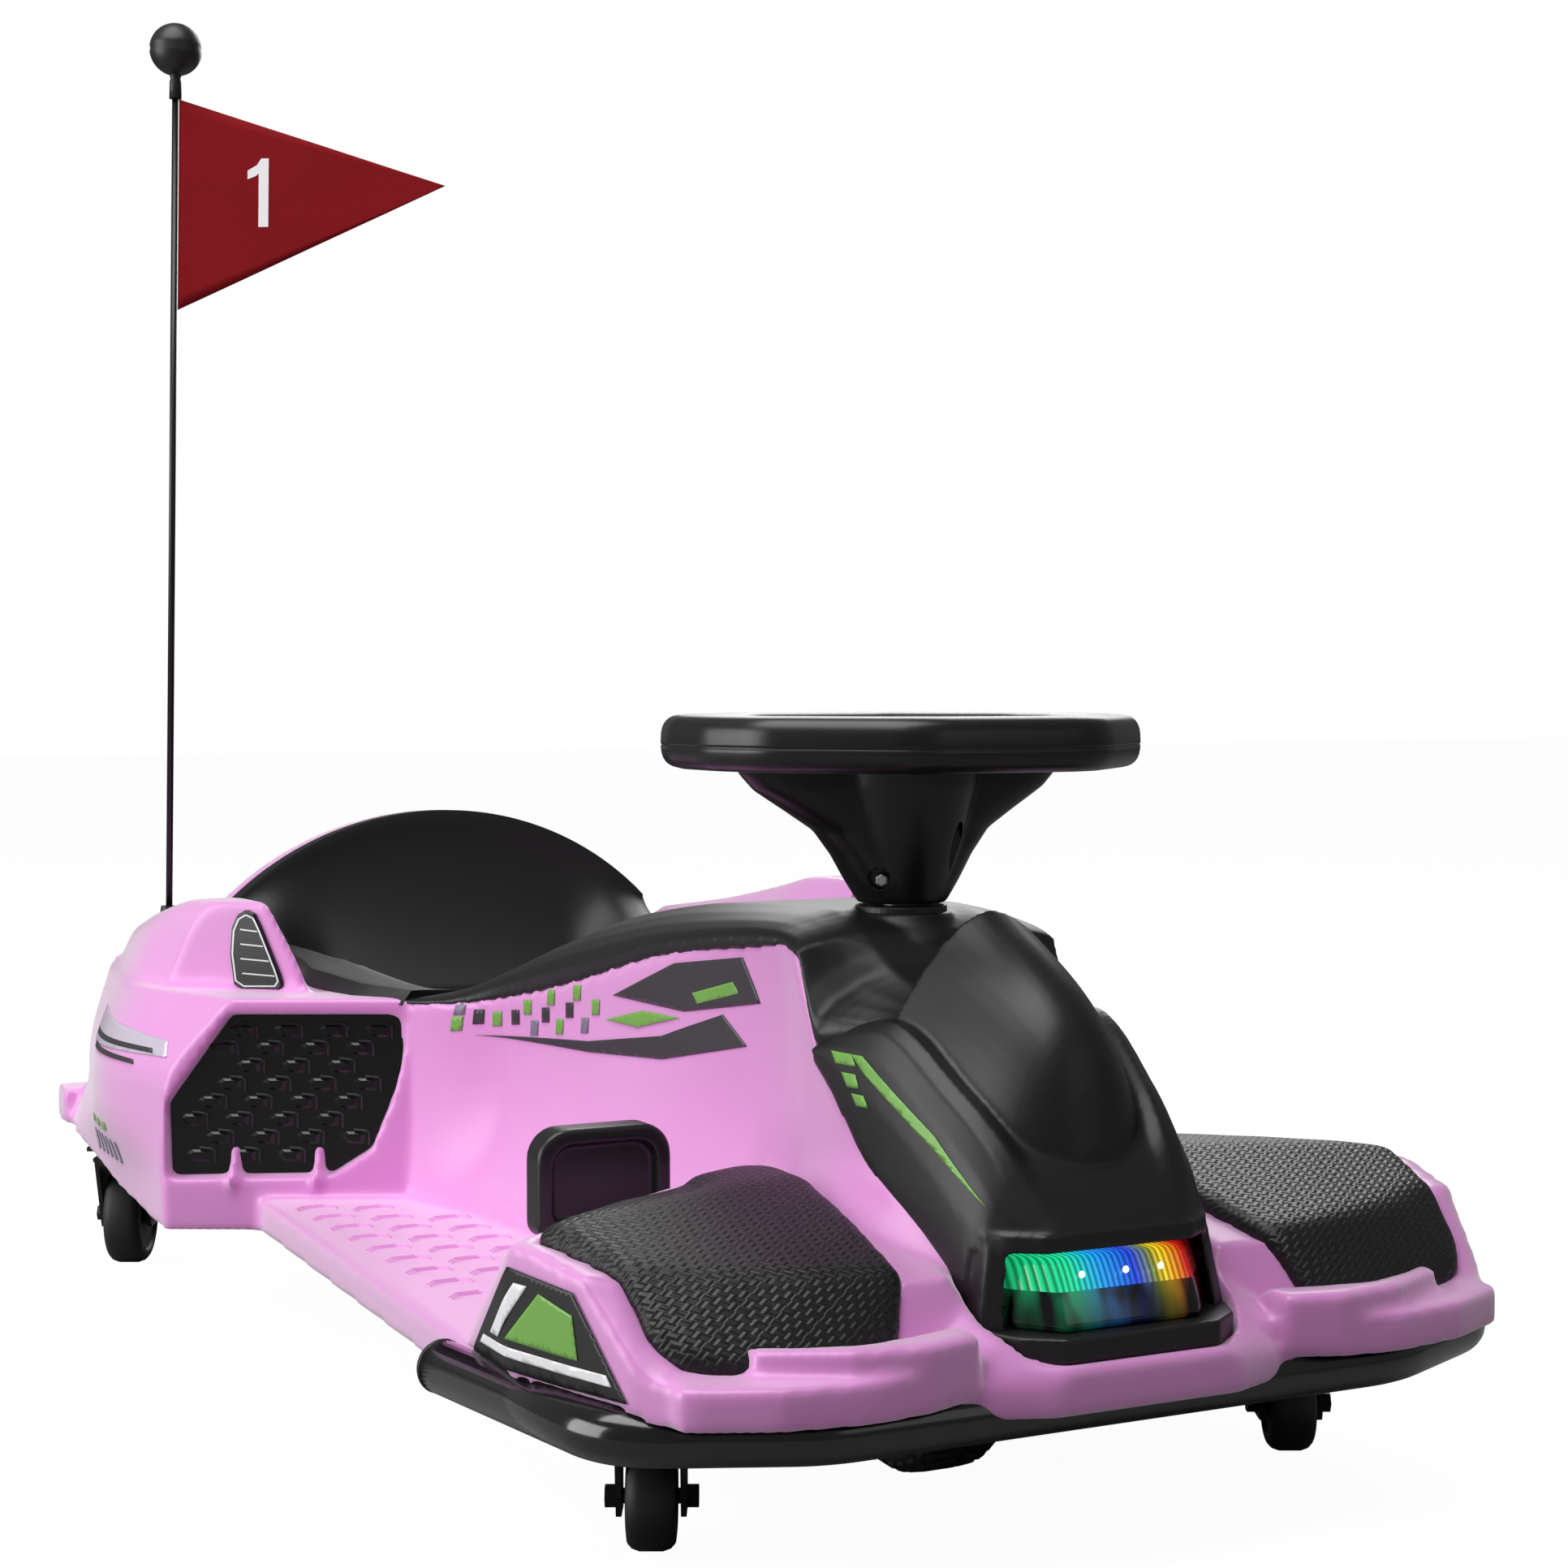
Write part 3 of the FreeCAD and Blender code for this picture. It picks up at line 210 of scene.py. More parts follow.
for name in ("rail_left", "rail_right", "cross_rear", "cross_mid", "caster_bracket_left",
             "caster_bracket_right"):
    dress(name, powder_coat, 1.2)
dress("battery_tray", powder_coat, 0.8)
# moulded ABS: an even, dull grey
battery_case = grained("grey_abs_moulded", "#3C3C3E", "#454547", 0.5, 0.7, 0.02)
dress("battery_block", battery_case, 2.0)


# Casters: moulded nylon forks that swivel under stamped steel plates, each with a cast wheel on a bolt
# between hex nuts. The wheel has a rounded tread and a dished web on each side. All swivel to one angle.
CASTER_TURN = math.radians(-27)
CASTER_AXLE = Vector((math.cos(CASTER_TURN), math.sin(CASTER_TURN), 0))
# moulded nylon: near black with a soft, slightly uneven sheen
nylon = grained("black_nylon_moulded", "#131314", "#19191A", 0.38, 0.9, 0.02)
# cast polyurethane: greyish black and dull
caster_tread = grained("black_polyurethane_tread", "#1A1A1B", "#222223", 0.55, 0.6, 0.03)
# zinc plating: a bright grey that blurs what it mirrors
zinc = grained("steel_zinc_plated", "#A8A9AC", "#BDBEC0", 0.3, 1.5, 0.01, metallic=1.0)


def box_of(name):
    """Corners of a CAD node's box in millimetres."""
    points = [nodes[name].matrix_world @ Vector(c) for c in nodes[name].bound_box]
    low = Vector([min(p[i] for p in points) for i in range(3)]) / MM
    high = Vector([max(p[i] for p in points) for i in range(3)]) / MM
    return low, high


for end, radius, width in (("front", 27.5, 26), ("rear", 37.5, 28)):
    dress("caster_mounts_" + end, powder_coat, 0.6)
    for side in ("left", "right"):
        name = "caster_wheel_%s_%s" % (end, side)
        low, high = box_of(name)
        start = (low + high) / 2 - CASTER_AXLE * (width / 2)
        mesh = bmesh.new()
        lathed(mesh, start, CASTER_AXLE, (
            (0, 5), (0, 9), (2.5, 10), (2.5, radius - 10), (0, radius - 9), (0.6, radius - 4),
            (3, radius - 1.4), (7, radius), (width - 7, radius), (width - 3, radius - 1.4),
            (width - 0.6, radius - 4), (width, radius - 9), (width - 2.5, radius - 10), (width - 2.5, 10),
            (width, 9), (width, 5)), 48)
        wheel = add_piece("caster_tread_%s_%s" % (end, side), mesh, caster_tread, "wheel_%s_%s" % (end, side))
        soften(wheel, 0.5)
        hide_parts(name)
        dress("caster_fork_%s_%s" % (end, side), nylon, 1.0)


# Drive wheel: a solid rubber tyre with chevron lugs round a hub motor, in a pressed steel fork under the
# column. The motor's cover is closed by a ring of screws.
DRIVE_CENTRE = Vector((0, -291, 74))
DRIVE_HALF = 26
LUGS = 36
# share of the pitch by which a lug leads on one side and lags on the other
LUG_SPLIT = 0.25
# columns: distance from the middle, lag round the wheel in radians, foot radius, head radius
LUG = ((1, 0, 71, 73.9), (9, 0.045, 71, 73.9), (17, 0.08, 70, 73.2), (23, 0.1, 66, 69))
# half-widths of a lug in radians
LUG_FOOT_HALF = 0.055
LUG_HEAD_HALF = 0.04
SCREWS = 8
SCREW_CIRCLE = 42
# cured rubber: a flat black that hardly reflects
rubber = grained("black_rubber_vulcanised", "#161616", "#1E1E1E", 0.72, 0.8, 0.05)
mesh = bmesh.new()
start = DRIVE_CENTRE - LEFT * DRIVE_HALF
lathed(mesh, start, LEFT, (
    (0, 49), (0, 60), (1.5, 65), (6, 70), (12, 72), (40, 72), (46, 70), (50.5, 65), (52, 60), (52, 49)), 72)
for i in range(LUGS):
    for side in (-1, 1):
        rings = []
        for x, shift, low, high in LUG:
            turn = 2 * math.pi * (i + side * LUG_SPLIT) / LUGS + shift
            ring = []
            for radius, half in ((low, LUG_FOOT_HALF), (high, LUG_HEAD_HALF)):
                for sign in (-1, 1) if radius == low else (1, -1):
                    a = turn + sign * half
                    spoke = Vector((side * x, radius * math.cos(a), radius * math.sin(a)))
                    ring.append(DRIVE_CENTRE + spoke)
            rings.append(ring)
        skin(mesh, rings)
tyre = add_piece("drive_tyre_lugged", mesh, rubber, "drive_wheel", smooth=False)
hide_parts("drive_tyre")
mesh = bmesh.new()
lathed(mesh, start, LEFT, (
    (1, 6.2), (1, 12), (3, 14), (3, 34), (1, 38), (0.5, 47), (0.5, 48), (51.5, 48), (51.5, 47), (51, 38),
    (49, 34), (49, 14), (51, 12), (51, 6.2)), 64)
for i in range(SCREWS):
    a = 2 * math.pi * i / SCREWS
    for x in (-DRIVE_HALF + 0.4, DRIVE_HALF - 2.4):
        spoke = Vector((x, SCREW_CIRCLE * math.cos(a), SCREW_CIRCLE * math.sin(a)))
        lathed(mesh, DRIVE_CENTRE + spoke, LEFT, ((0, 3), (2, 3)), 12)
motor = add_piece("hub_motor", mesh, nylon, "drive_wheel", smooth=False)
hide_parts("drive_hub")
dress("drive_fork", powder_coat, 1.5)


# Pink body: fuselage, foot rests, floor boards, pods and rear shell are moulded polyethylene in one colour,
# fixed into one skin about 3 mm thick and open underneath. Every outside edge is rounded by the mould.
def eased_rows(rows, step):
    """Rows (y, values...) at even spacing along y, every column eased between the given rows."""
    ys = [r[0] for r in rows]
    columns = list(zip(*rows))[1:]
    slopes = []
    for column in columns:
        chords = [(column[i + 1] - column[i]) / (ys[i + 1] - ys[i]) for i in range(len(ys) - 1)]
        inner = [0.0 if a * b <= 0 else 2 * a * b / (a + b) for a, b in zip(chords, chords[1:])]
        slopes.append([chords[0]] + inner + [chords[-1]])
    out = []
    for i in range(len(ys) - 1):
        gap = ys[i + 1] - ys[i]
        count = max(1, round(abs(gap) / step))
        for k in range(count):
            t = k / count
            a, b = 2 * t ** 3 - 3 * t ** 2 + 1, t ** 3 - 2 * t ** 2 + t
            c, d = 3 * t ** 2 - 2 * t ** 3, t ** 3 - t ** 2
            row = [ys[i] + gap * t]
            for column, slope in zip(columns, slopes):
                row.append(a * column[i] + b * gap * slope[i] + c * column[i + 1] + d * gap * slope[i + 1])
            out.append(row)
    return out + [list(rows[-1])]


def bowed(a, b, c, count=8):
    """Points on a smooth bow from a through b to c."""
    out = []
    for i in range(count + 1):
        t = i / count
        wa, wb, wc = (2 * t - 1) * (t - 1), 4 * t * (1 - t), t * (2 * t - 1)
        out.append(tuple(a[k] * wa + b[k] * wb + c[k] * wc for k in (0, 1)))
    return out


def mirrored_ring(half, y):
    """Closed cross-section in millimetres from its +X half, given from the bottom up."""
    return [(x, y, z) for x, z in half] + [(-x, y, z) for x, z in reversed(half)]


def prism(mesh, plan, z0, z1):
    """Add an upright solid from its plan in x and y."""
    skin(mesh, [[(x, y, z) for x, y in plan] for z in (z0, z1)])


def both_sides(half_plan):
    """A plan from its +X half."""
    return list(half_plan) + [(-x, y) for x, y in reversed(half_plan)]


def opened(data):
    """Editable copy of a mesh."""
    mesh = bmesh.new()
    mesh.from_mesh(data)
    return mesh


def stored(mesh, data):
    """Write an editable mesh to its data and free it."""
    mesh.to_mesh(data)
    mesh.free()
    return data


def bake(piece):
    """Turn a piece's modifiers into its mesh."""
    data = bpy.data.meshes.new_from_object(piece.evaluated_get(bpy.context.evaluated_depsgraph_get()))
    piece.modifiers.clear()
    piece.data = data


def carved(mesh, cutter):
    """The first editable mesh less the second."""
    pair = []
    for part in (mesh, cutter):
        bmesh.ops.recalc_face_normals(part, faces=part.faces)
        pair.append(bpy.data.objects.new("part", stored(part, bpy.data.meshes.new("part"))))
        bpy.context.scene.collection.objects.link(pair[-1])
    cut = pair[0].modifiers.new("cut", "BOOLEAN")
    cut.operation = "DIFFERENCE"
    cut.solver = "EXACT"
    cut.object = pair[1]
    bake(pair[0])
    result = opened(pair[0].data)
    for part in pair:
        bpy.data.objects.remove(part)
    return result


def round_over(piece, voxel_mm, passes, keep=1.0):
    """Weld a piece into one skin, round its edges over and thin out its flat areas."""
    weld = piece.modifiers.new("weld", "REMESH")
    weld.mode = "VOXEL"
    weld.voxel_size = voxel_mm * MM
    weld.use_smooth_shade = True
    soft = piece.modifiers.new("soft", "SMOOTH")
    soft.factor = 0.5
    soft.iterations = passes
    if keep < 1:
        thin = piece.modifiers.new("thin", "DECIMATE")
        thin.ratio = keep
    bake(piece)


def thicken(piece, wall_mm, offset):
    """Give a sheet its wall: inward for -1, to both sides for 0 and outward for 1."""
    wall = piece.modifiers.new("wall", "SOLIDIFY")
    wall.thickness = wall_mm * MM
    wall.offset = offset


def open_underside(piece, wall_mm):
    """Keep what can be seen from above or beside, and give it a wall."""
    mesh = opened(piece.data)
    tree = BVHTree.FromBMesh(mesh)
    hidden = []
    for face in mesh.faces:
        n = face.normal
        side = n.cross(UP)
        ways = (n + UP * 0.45, n + UP * 1.6, n + UP * 0.8 + side, n + UP * 0.8 - side)
        start = face.calc_center_median() + n * MM
        if n.z < -0.8 or all(tree.ray_cast(start, way)[0] for way in ways if way.length > 0.1):
            hidden.append(face)
    kept = set(mesh.faces) - set(hidden)
    for _ in range(2):
        kept |= {near for face in kept for edge in face.edges for near in edge.link_faces}
    bmesh.ops.delete(mesh, geom=[face for face in mesh.faces if face not in kept], context="FACES")
    rim = [v for v in mesh.verts if v.is_boundary]
    for _ in range(8):
        ends = {v: [e.other_vert(v).co for e in v.link_edges if e.is_boundary] for v in rim}
        moved = {v: v.co.lerp(sum(near, Vector()) / len(near), 0.5) for v, near in ends.items() if near}
        for v, place in moved.items():
            v.co = place
    stored(mesh, piece.data)
    thin = piece.modifiers.new("thin", "DECIMATE")
    thin.ratio = 0.42
    thicken(piece, wall_mm, -1)


# columns: y, base half-width, foot half-width, foot z, waist half-width, waist z, top half-width, top z
FUSELAGE = (
    (-520, 54, 54, 99, 50, 106, 44, 111),
    (-508, 84, 84, 101, 74, 109, 60, 114),
    (-494, 112, 110, 103, 90, 117, 68, 124),
    (-470, 118, 112, 122, 88, 131, 68, 138),
    (-430, 118, 104, 148, 86, 157, 75, 163),
    (-368, 116, 100, 168, 84, 184, 80, 201),
    (-321, 112, 90, 172, 80, 198, 82, 245),
    (-302, 110, 86, 174, 79, 206, 84, 294),
    (-280, 112, 92, 168, 78, 206, 82, 299),
    (-160, 126, 122, 121, 95, 172, 97, 284),
    (-47, 130, 127, 117, 104, 168, 110, 257),
    (40, 140, 136, 109, 117, 165, 124, 239),
    (92, 152, 150, 103, 142, 160, 146, 231),
    (128, 161, 160, 100, 160, 161, 161, 229),
)
SHELL_BOTTOM = 87
SHELL_WALL = 3.0
# columns: z, front corner x, side x at three stations, rear x
POD_LEVELS = (
    (68, 303, 304, 303, 302, 300), (104, 304, 307, 305, 303, 299), (126, 304, 316, 308, 299, 286),
    (148, 303, 321.4, 307, 293, 276), (171, 302, 321.4, 306, 292, 272), (231, 262, 299, 288, 276, 257),
)
POD_STATIONS = (291, 385, 448)
POD_INNER = 158
POD_FRONT = 119.3
POD_CORNER_X = 160.3
POD_REAR = 499.7
POD_STEPS = 30
# how far the front of a pod falls back for each millimetre outward
SWEEP = 0.507
SWEEP_LENGTH = math.hypot(1, SWEEP)
# lower edge of a pod seen from the side, as y and z
POD_EDGE = ((0, 74), (165, 75), (220, 76), (505, 109), (600, 109))
# columns: y, outer x, edge x, edge z, crown outer x, crown inner x, crown z, inner x
HUMP = (
    (168, 250, 250, 264, 244, 226, 290, 207),
    (200, 263, 261, 267, 249, 228, 292, 200),
    (266, 284, 274, 268, 257, 228, 291, 180),
    (320, 295, 285, 258, 264, 226, 281, 161),
    (400, 284, 275, 248, 256, 218, 266, 161),
    (499.7, 256, 250, 238, 236, 204, 252, 161),
)
HUMP_BASE = 229
HUMP_FACE = ((200, 172), (256, 233))
POCKET = ((158, 220), (264, 220), (302, 160), (301, 110), (204, 112), (180, 129), (166, 168), (160, 196))
POCKET_DEPTH = 16
FIN_X = (212, 262)
FIN_HALF = 3.5
# a fin from the side, as z and depth behind the pod's front
FIN = ((104, 19), (133, 19), (131, 11), (112, -4), (104, -4))
# a thin outer skirt closes the edge of each floor board down to the tube
SKIRT_PLAN = ((268, -288), (262, -288), (238, 168), (246, 168))
SKIRT_Z = (74, 94)
LIP_PLAN = ((73, -448), (73, -479), (63, -500), (45, -513))
LIP_BOTTOM = 111
# moulded polyethylene: milky pink with a soft gloss, paler where it turns away
pink_polyethylene = grained("pink_polyethylene_moulded", "#DB88D0", "#E194D7", 0.3, 0.9, 0.012, sheen=1.0)
mesh = bmesh.new()
rings = []
for y, xb, xf, zf, xw, zw, xt, zt in eased_rows(FUSELAGE, 10):
    rings.append(mirrored_ring([(xb, SHELL_BOTTOM)] + bowed((xf, zf), (xw, zw), (xt, zt)), y))
skin(mesh, rings)
opening = bmesh.new()
prism(opening, both_sides([(x + 1, y - 1) for x, y in LIP_PLAN]), LIP_BOTTOM - 1, 400)
mesh = carved(mesh, opening)


def between(table, y):
    """Value at y on a table of pairs, by straight lines."""
    for (y0, a), (y1, b) in zip(table, table[1:]):
        if y <= y1:
            return a + (b - a) * (y - y0) / (y1 - y0)
    return table[-1][1]


def on_front(side, x, z, depth):
    """Point at a depth behind the swept front of a pod, for x and z drawn from the front."""
    y = POD_FRONT + SWEEP * (x - POD_CORNER_X) + depth / SWEEP_LENGTH
    return (side * (x - SWEEP / SWEEP_LENGTH * depth), y, z)


for side in (-1, 1):
    pod = bmesh.new()
    rings = []
    for z, xf, x1, x2, x3, xr in eased_rows(POD_LEVELS, 12):
        front = POD_FRONT + SWEEP * (xf - POD_CORNER_X)
        curve = eased_rows([(front, xf)] + list(zip(POD_STATIONS, (x1, x2, x3))) + [(POD_REAR, xr)], 2)
        plan = [(POD_INNER, POD_REAR), (POD_INNER, POD_FRONT)]
        for k in range(POD_STEPS + 1):
            y = front + (POD_REAR - front) * k / POD_STEPS
            plan.append((between(curve, y), y))
        rings.append([(side * x, y, z) for x, y in plan])
    skin(pod, rings)
    below = bmesh.new()
    plan = [(y, z) for y, z in POD_EDGE] + [(600, -50), (0, -50)]
    skin(below, [[(side * x, y, z) for y, z in plan] for x in (100, 400)])
    pod = carved(pod, below)
    pocket = bmesh.new()
    skin(pocket, [[on_front(side, x, z, depth) for x, z in POCKET] for depth in (-12, POCKET_DEPTH)])
    pod = carved(pod, pocket)
    for x in FIN_X:
        fin = [on_front(side, x, z, depth) for z, depth in FIN]
        skin(pod, [[(px + shift, py, pz) for px, py, pz in fin] for shift in (-FIN_HALF, FIN_HALF)])
    prism(pod, [(side * x, y) for x, y in SKIRT_PLAN], *SKIRT_Z)
    hump = bmesh.new()
    rings = []
    for y, xo, xe, ze, xc, xi, zc, xn in eased_rows(HUMP, 12):
        crown = bowed((xe, ze), ((xc + xe) / 2 + 1, (zc + ze) / 2 + 5), (xc, zc), 4)
        shoulder = (xi * 0.62 + xn * 0.38 - 2, zc * 0.55 + HUMP_BASE * 0.45)
        ring = [(xo, HUMP_BASE)] + crown + bowed((xi, zc), shoulder, (xn, HUMP_BASE), 4)
        rings.append([(side * x, y, z) for x, z in ring])
    skin(hump, rings)
    face = bmesh.new()
    (x0, y0), (x1, y1) = HUMP_FACE
    slope = (y1 - y0) / (x1 - x0)
    plan = [(x0 - 60, y0 - 60 * slope), (x0 - 60, -100), (x1 + 60, -100), (x1 + 60, y1 + 60 * slope)]
    prism(face, [(side * x, y) for x, y in plan], 200, 400)
    for part in (carved(hump, face), pod):
        mesh.from_mesh(stored(part, bpy.data.meshes.new("part")))
for name in ("footrest", "floor_board"):
    for side in ("left", "right"):
        mesh.from_mesh(nodes[name + "_" + side].data)
mesh.from_mesh(nodes["rear_shell"].data)
pink_body = add_piece("pink_body", mesh, pink_polyethylene)
round_over(pink_body, 2.8, 9)
pink_tree = BVHTree.FromObject(pink_body, bpy.context.evaluated_depsgraph_get())
open_underside(pink_body, SHELL_WALL)
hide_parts("fuselage_shell", "footrest_left", "footrest_right", "floor_board_left",
            "floor_board_right", "pod_left", "pod_right", "rear_shell")


# Black hood, column mound and cover: two polypropylene mouldings with a fine spark grain that clip over the
# pink fuselage. A raised scoop runs down the middle of the hood, which ends in a flat band over the lamp.

# spark grain: nearly black, with a dull, very fine sparkle
black_polypropylene = grained("black_polypropylene_spark_grain", "#0E0E0F", "#131314", 0.42, 0.7, 0.02)
# columns: y, lower half-width, lower z, shoulder half-width, shoulder z, crown half-width, crown z
COVER = (
    (-366, 60, 261, 52, 264, 24, 267),
    (-321, 83, 246, 76, 266, 38, 288),
    (-302, 85, 294, 74, 299, 42, 304),
    (-280, 83, 299, 74, 305, 42, 312),
    (-262, 85, 297, 76, 306, 42, 315),
    (-160, 98, 284, 87, 298, 46, 311),
    (-47, 111, 257, 98, 278, 52, 297),
    (40, 125, 239, 112, 255, 62, 275),
    (92, 147, 231, 132, 237, 98, 243),
    (121, 161, 229, 150, 231, 110, 233),
)
# columns as for the cover
HOOD = (
    (-318, 83, 244, 82, 246, 70, 250),
    (-340, 82, 228, 79, 251, 64, 259),
    (-368, 81, 201, 75, 254, 58, 264),
    (-430, 76, 163, 66, 224, 46, 231),
    (-460, 74, 143, 60, 202, 38, 206),
    (-470, 68, 152, 57, 192, 36, 197),
    (-478, 61, 154, 52, 182, 32, 188),
    (-486, 51, 156, 45, 173, 28, 178),
    (-491, 44, 156, 41, 168, 26, 171),
)
# columns: y, half-width, foot z, crown z
SCOOP = (
    (-366, 60, 264, 321),
    (-384, 58, 252, 312),
    (-402, 55, 241, 303),
    (-420, 51, 230, 293),
    (-435, 47, 220, 283),
    (-450, 40, 211, 269),
    (-458, 33, 206, 256),
    (-464, 24, 201, 236),
    (-469, 12, 198, 206),
)
SCOOP_SUNK = 16
STEER = Vector((0, -270, 0))
COLUMN_HOLE_RADIUS = 24
BROW_Z = 161
BROW_BAND = 9
LAMP_BACK_Y = -462
BROW_PLAN = ((68, -455), (67, -470), (60, -480), (44, -491.5))
CHEEKS = (
    (122, ((61.5, -456), (75, -456), (74, -477), (63, -485))),
    (163, ((58, -456), (69.5, -456), (66.5, -473), (57.5, -479))),
)


def arched(rows, drop, step=8, inset=0):
    """Closed cross-sections of a moulding that arches from its lower edges over a shoulder to a crown."""
    rings = []
    for y, xl, zl, xs, zs, xc, zc in eased_rows(rows, step):
        arch = bowed((xl - inset, zl), (xs, zs), (xc, zc), 5)
        rings.append(mirrored_ring([(xl - inset, zl - drop)] + arch, y))
    return rings


def cut_baked(piece, cutter):
    """Cut a baked piece with an editable mesh."""
    stored(carved(opened(piece.data), cutter), piece.data)


mesh = bmesh.new()
skin(mesh, arched(COVER, 2.5, inset=1.5))
lathed(mesh, STEER + UP * 250, UP, ((0, 58), (30, 52), (50, 40), (58, 31), (63, 28)), 48)
cover = add_piece("cover_clipped", mesh, black_polypropylene)
round_over(cover, 2.0, 5, 0.6)
column_hole = bmesh.new()
lathed(column_hole, STEER, UP, ((150, COLUMN_HOLE_RADIUS), (400, COLUMN_HOLE_RADIUS)), 48)
cut_baked(cover, column_hole)
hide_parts("centre_cover")

mesh = bmesh.new()
skin(mesh, arched(HOOD, 6, 6))
lamp_space = bmesh.new()
prism(lamp_space, [(-200, -700), (200, -700), (200, LAMP_BACK_Y), (-200, LAMP_BACK_Y)], 0, BROW_Z)
mesh = carved(mesh, lamp_space)
rings = []
for y, half, foot, crown in eased_rows(SCOOP, 4):
    squareness = 1.75 + (SCOOP[0][0] - y) * 0.008
    arch = []
    for k in range(25):
        c = math.cos(math.pi * k / 24)
        arch.append((half * c, y, foot + (crown - foot) * (1 - abs(c) ** squareness)))
    rings.append([(half, y, foot - SCOOP_SUNK)] + arch + [(-half, y, foot - SCOOP_SUNK)])
skin(mesh, rings)
for side in (-1, 1):
    skin(mesh, [[(side * x, y, z) for x, y in plan] for z, plan in CHEEKS])
prism(mesh, both_sides(BROW_PLAN), BROW_Z, BROW_Z + BROW_BAND)
hood = add_piece("hood_with_scoop", mesh, black_polypropylene)
round_over(hood, 1.7, 5, 0.6)
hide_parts("hood")
hood_tree = BVHTree.FromObject(hood, bpy.context.evaluated_depsgraph_get())

# Lamp: a clear polycarbonate lens over a row of coloured diodes, set between black cheeks on a black lip.
# The upper part is ribbed and glows, and the smooth lower part carries the colours down as soft streaks.
LENS_BOTTOM = 124
LENS_TALL = 33.4
LENS_BULGE = 2.2
RIBS_FROM_Z = 143
RIB_PITCH = 3.3
LENS_FOOT = ((61, -462), (59, -480), (41, -503))
LENS_HEAD = ((57, -462), (55, -471), (38, -487))
DIODE_X = (-24, 2, 23)
DIODE_Y = -493
DIODE_Z = 150
mesh = bmesh.new()
prism(mesh, both_sides(LIP_PLAN), LIP_BOTTOM, LENS_BOTTOM)
lip = add_piece("lamp_lip_moulded", mesh, black_polypropylene)
round_over(lip, 1.3, 4)
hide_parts("lamp_lip")


def waves_of(pitch_mm):
    """Scale of a wave texture that gives one wave for each pitch."""
    return math.pi / (10 * pitch_mm * MM)


# clear moulded polycarbonate: dark and glossy, with colours that light up along the ribs
lens_material, tree, place = new_material("polycarbonate_lens_ribbed_lit")
parts = node(tree, "ShaderNodeSeparateXYZ", {"Vector": place})
across = node(tree, "ShaderNodeMapRange", {
    "Value": parts.outputs["X"], "From Min": -0.062, "From Max": 0.062})
colours = node(tree, "ShaderNodeValToRGB", {"Fac": across.outputs[0]})
ramp = colours.color_ramp
ramp.elements[0].color = linear("#0B5A3C")
ramp.elements[1].color = linear("#050102")
for spot, code in ((0.1, "#12A868"), (0.26, "#1FC488"), (0.4, "#1C8CD8"), (0.56, "#1F3CC4"),
                   (0.65, "#6A7A30"), (0.7, "#D8B81E"), (0.76, "#C87818"), (0.81, "#B81812"),
                   (0.88, "#4A0606")):
    ramp.elements.new(spot).color = linear(code)
height = node(tree, "ShaderNodeMapRange", {
    "Value": parts.outputs["Z"], "From Min": 0.121, "From Max": 0.146})
drawn_down = node(tree, "ShaderNodeMapping", {"Vector": place, "Scale": (1, 1, 0.15)})
streak = node(tree, "ShaderNodeTexNoise", {
    "Vector": drawn_down.outputs[0], "Scale": 75.0, "Detail": 1.0, "Distortion": 0.4})
streak = node(tree, "ShaderNodeMapRange", {
    "Value": streak.outputs["Fac"], "From Min": 0.36, "From Max": 0.66})
glow = node(tree, "ShaderNodeMath", {0: height.outputs[0], 1: streak.outputs[0]}, operation="MULTIPLY")
upper = node(tree, "ShaderNodeMath", {
    0: parts.outputs["Z"], 1: RIBS_FROM_Z * MM}, operation="GREATER_THAN")
glow = node(tree, "ShaderNodeMath", {0: glow.outputs[0], 1: upper.outputs[0]}, operation="MAXIMUM")
ribs = node(tree, "ShaderNodeTexWave", {"Vector": place, "Scale": waves_of(RIB_PITCH)}, bands_direction="X")
rib_height = node(tree, "ShaderNodeMath", {
    0: ribs.outputs["Fac"], 1: upper.outputs[0]}, operation="MULTIPLY")
strength = node(tree, "ShaderNodeMath", {
    0: rib_height.outputs[0], 1: 0.8, 2: 0.35}, operation="MULTIPLY_ADD")
strength = node(tree, "ShaderNodeMath", {0: strength.outputs[0], 1: glow.outputs[0]}, operation="MULTIPLY")
strength = node(tree, "ShaderNodeMath", {0: strength.outputs[0], 1: 1.5}, operation="MULTIPLY")
bump = node(tree, "ShaderNodeBump", {"Height": rib_height.outputs[0], "Strength": 0.8, "Distance": 0.6 * MM})
finish(tree, node(tree, "ShaderNodeBsdfPrincipled", {
    "Base Color": linear("#06070A"), "Roughness": 0.14, "IOR": 1.58, "Normal": bump.outputs[0],
    "Emission Color": colours.outputs[0], "Emission Strength": strength.outputs[0]}))
mesh = bmesh.new()
rings = []
for k in range(9):
    t = k / 8
    bulge = LENS_BULGE * math.sin(math.pi * t) ** 0.7
    rings.append([(x0 + (x1 - x0) * t, y0 + (y1 - y0) * t - bulge, LENS_BOTTOM + 0.4 + LENS_TALL * t)
                  for (x0, y0), (x1, y1) in zip(both_sides(LENS_FOOT), both_sides(LENS_HEAD))])
skin(mesh, rings)
lens = add_piece("lamp_lens_ribbed", mesh, lens_material)
soften(lens, 3.0, segments=3)
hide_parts("lamp_lens")

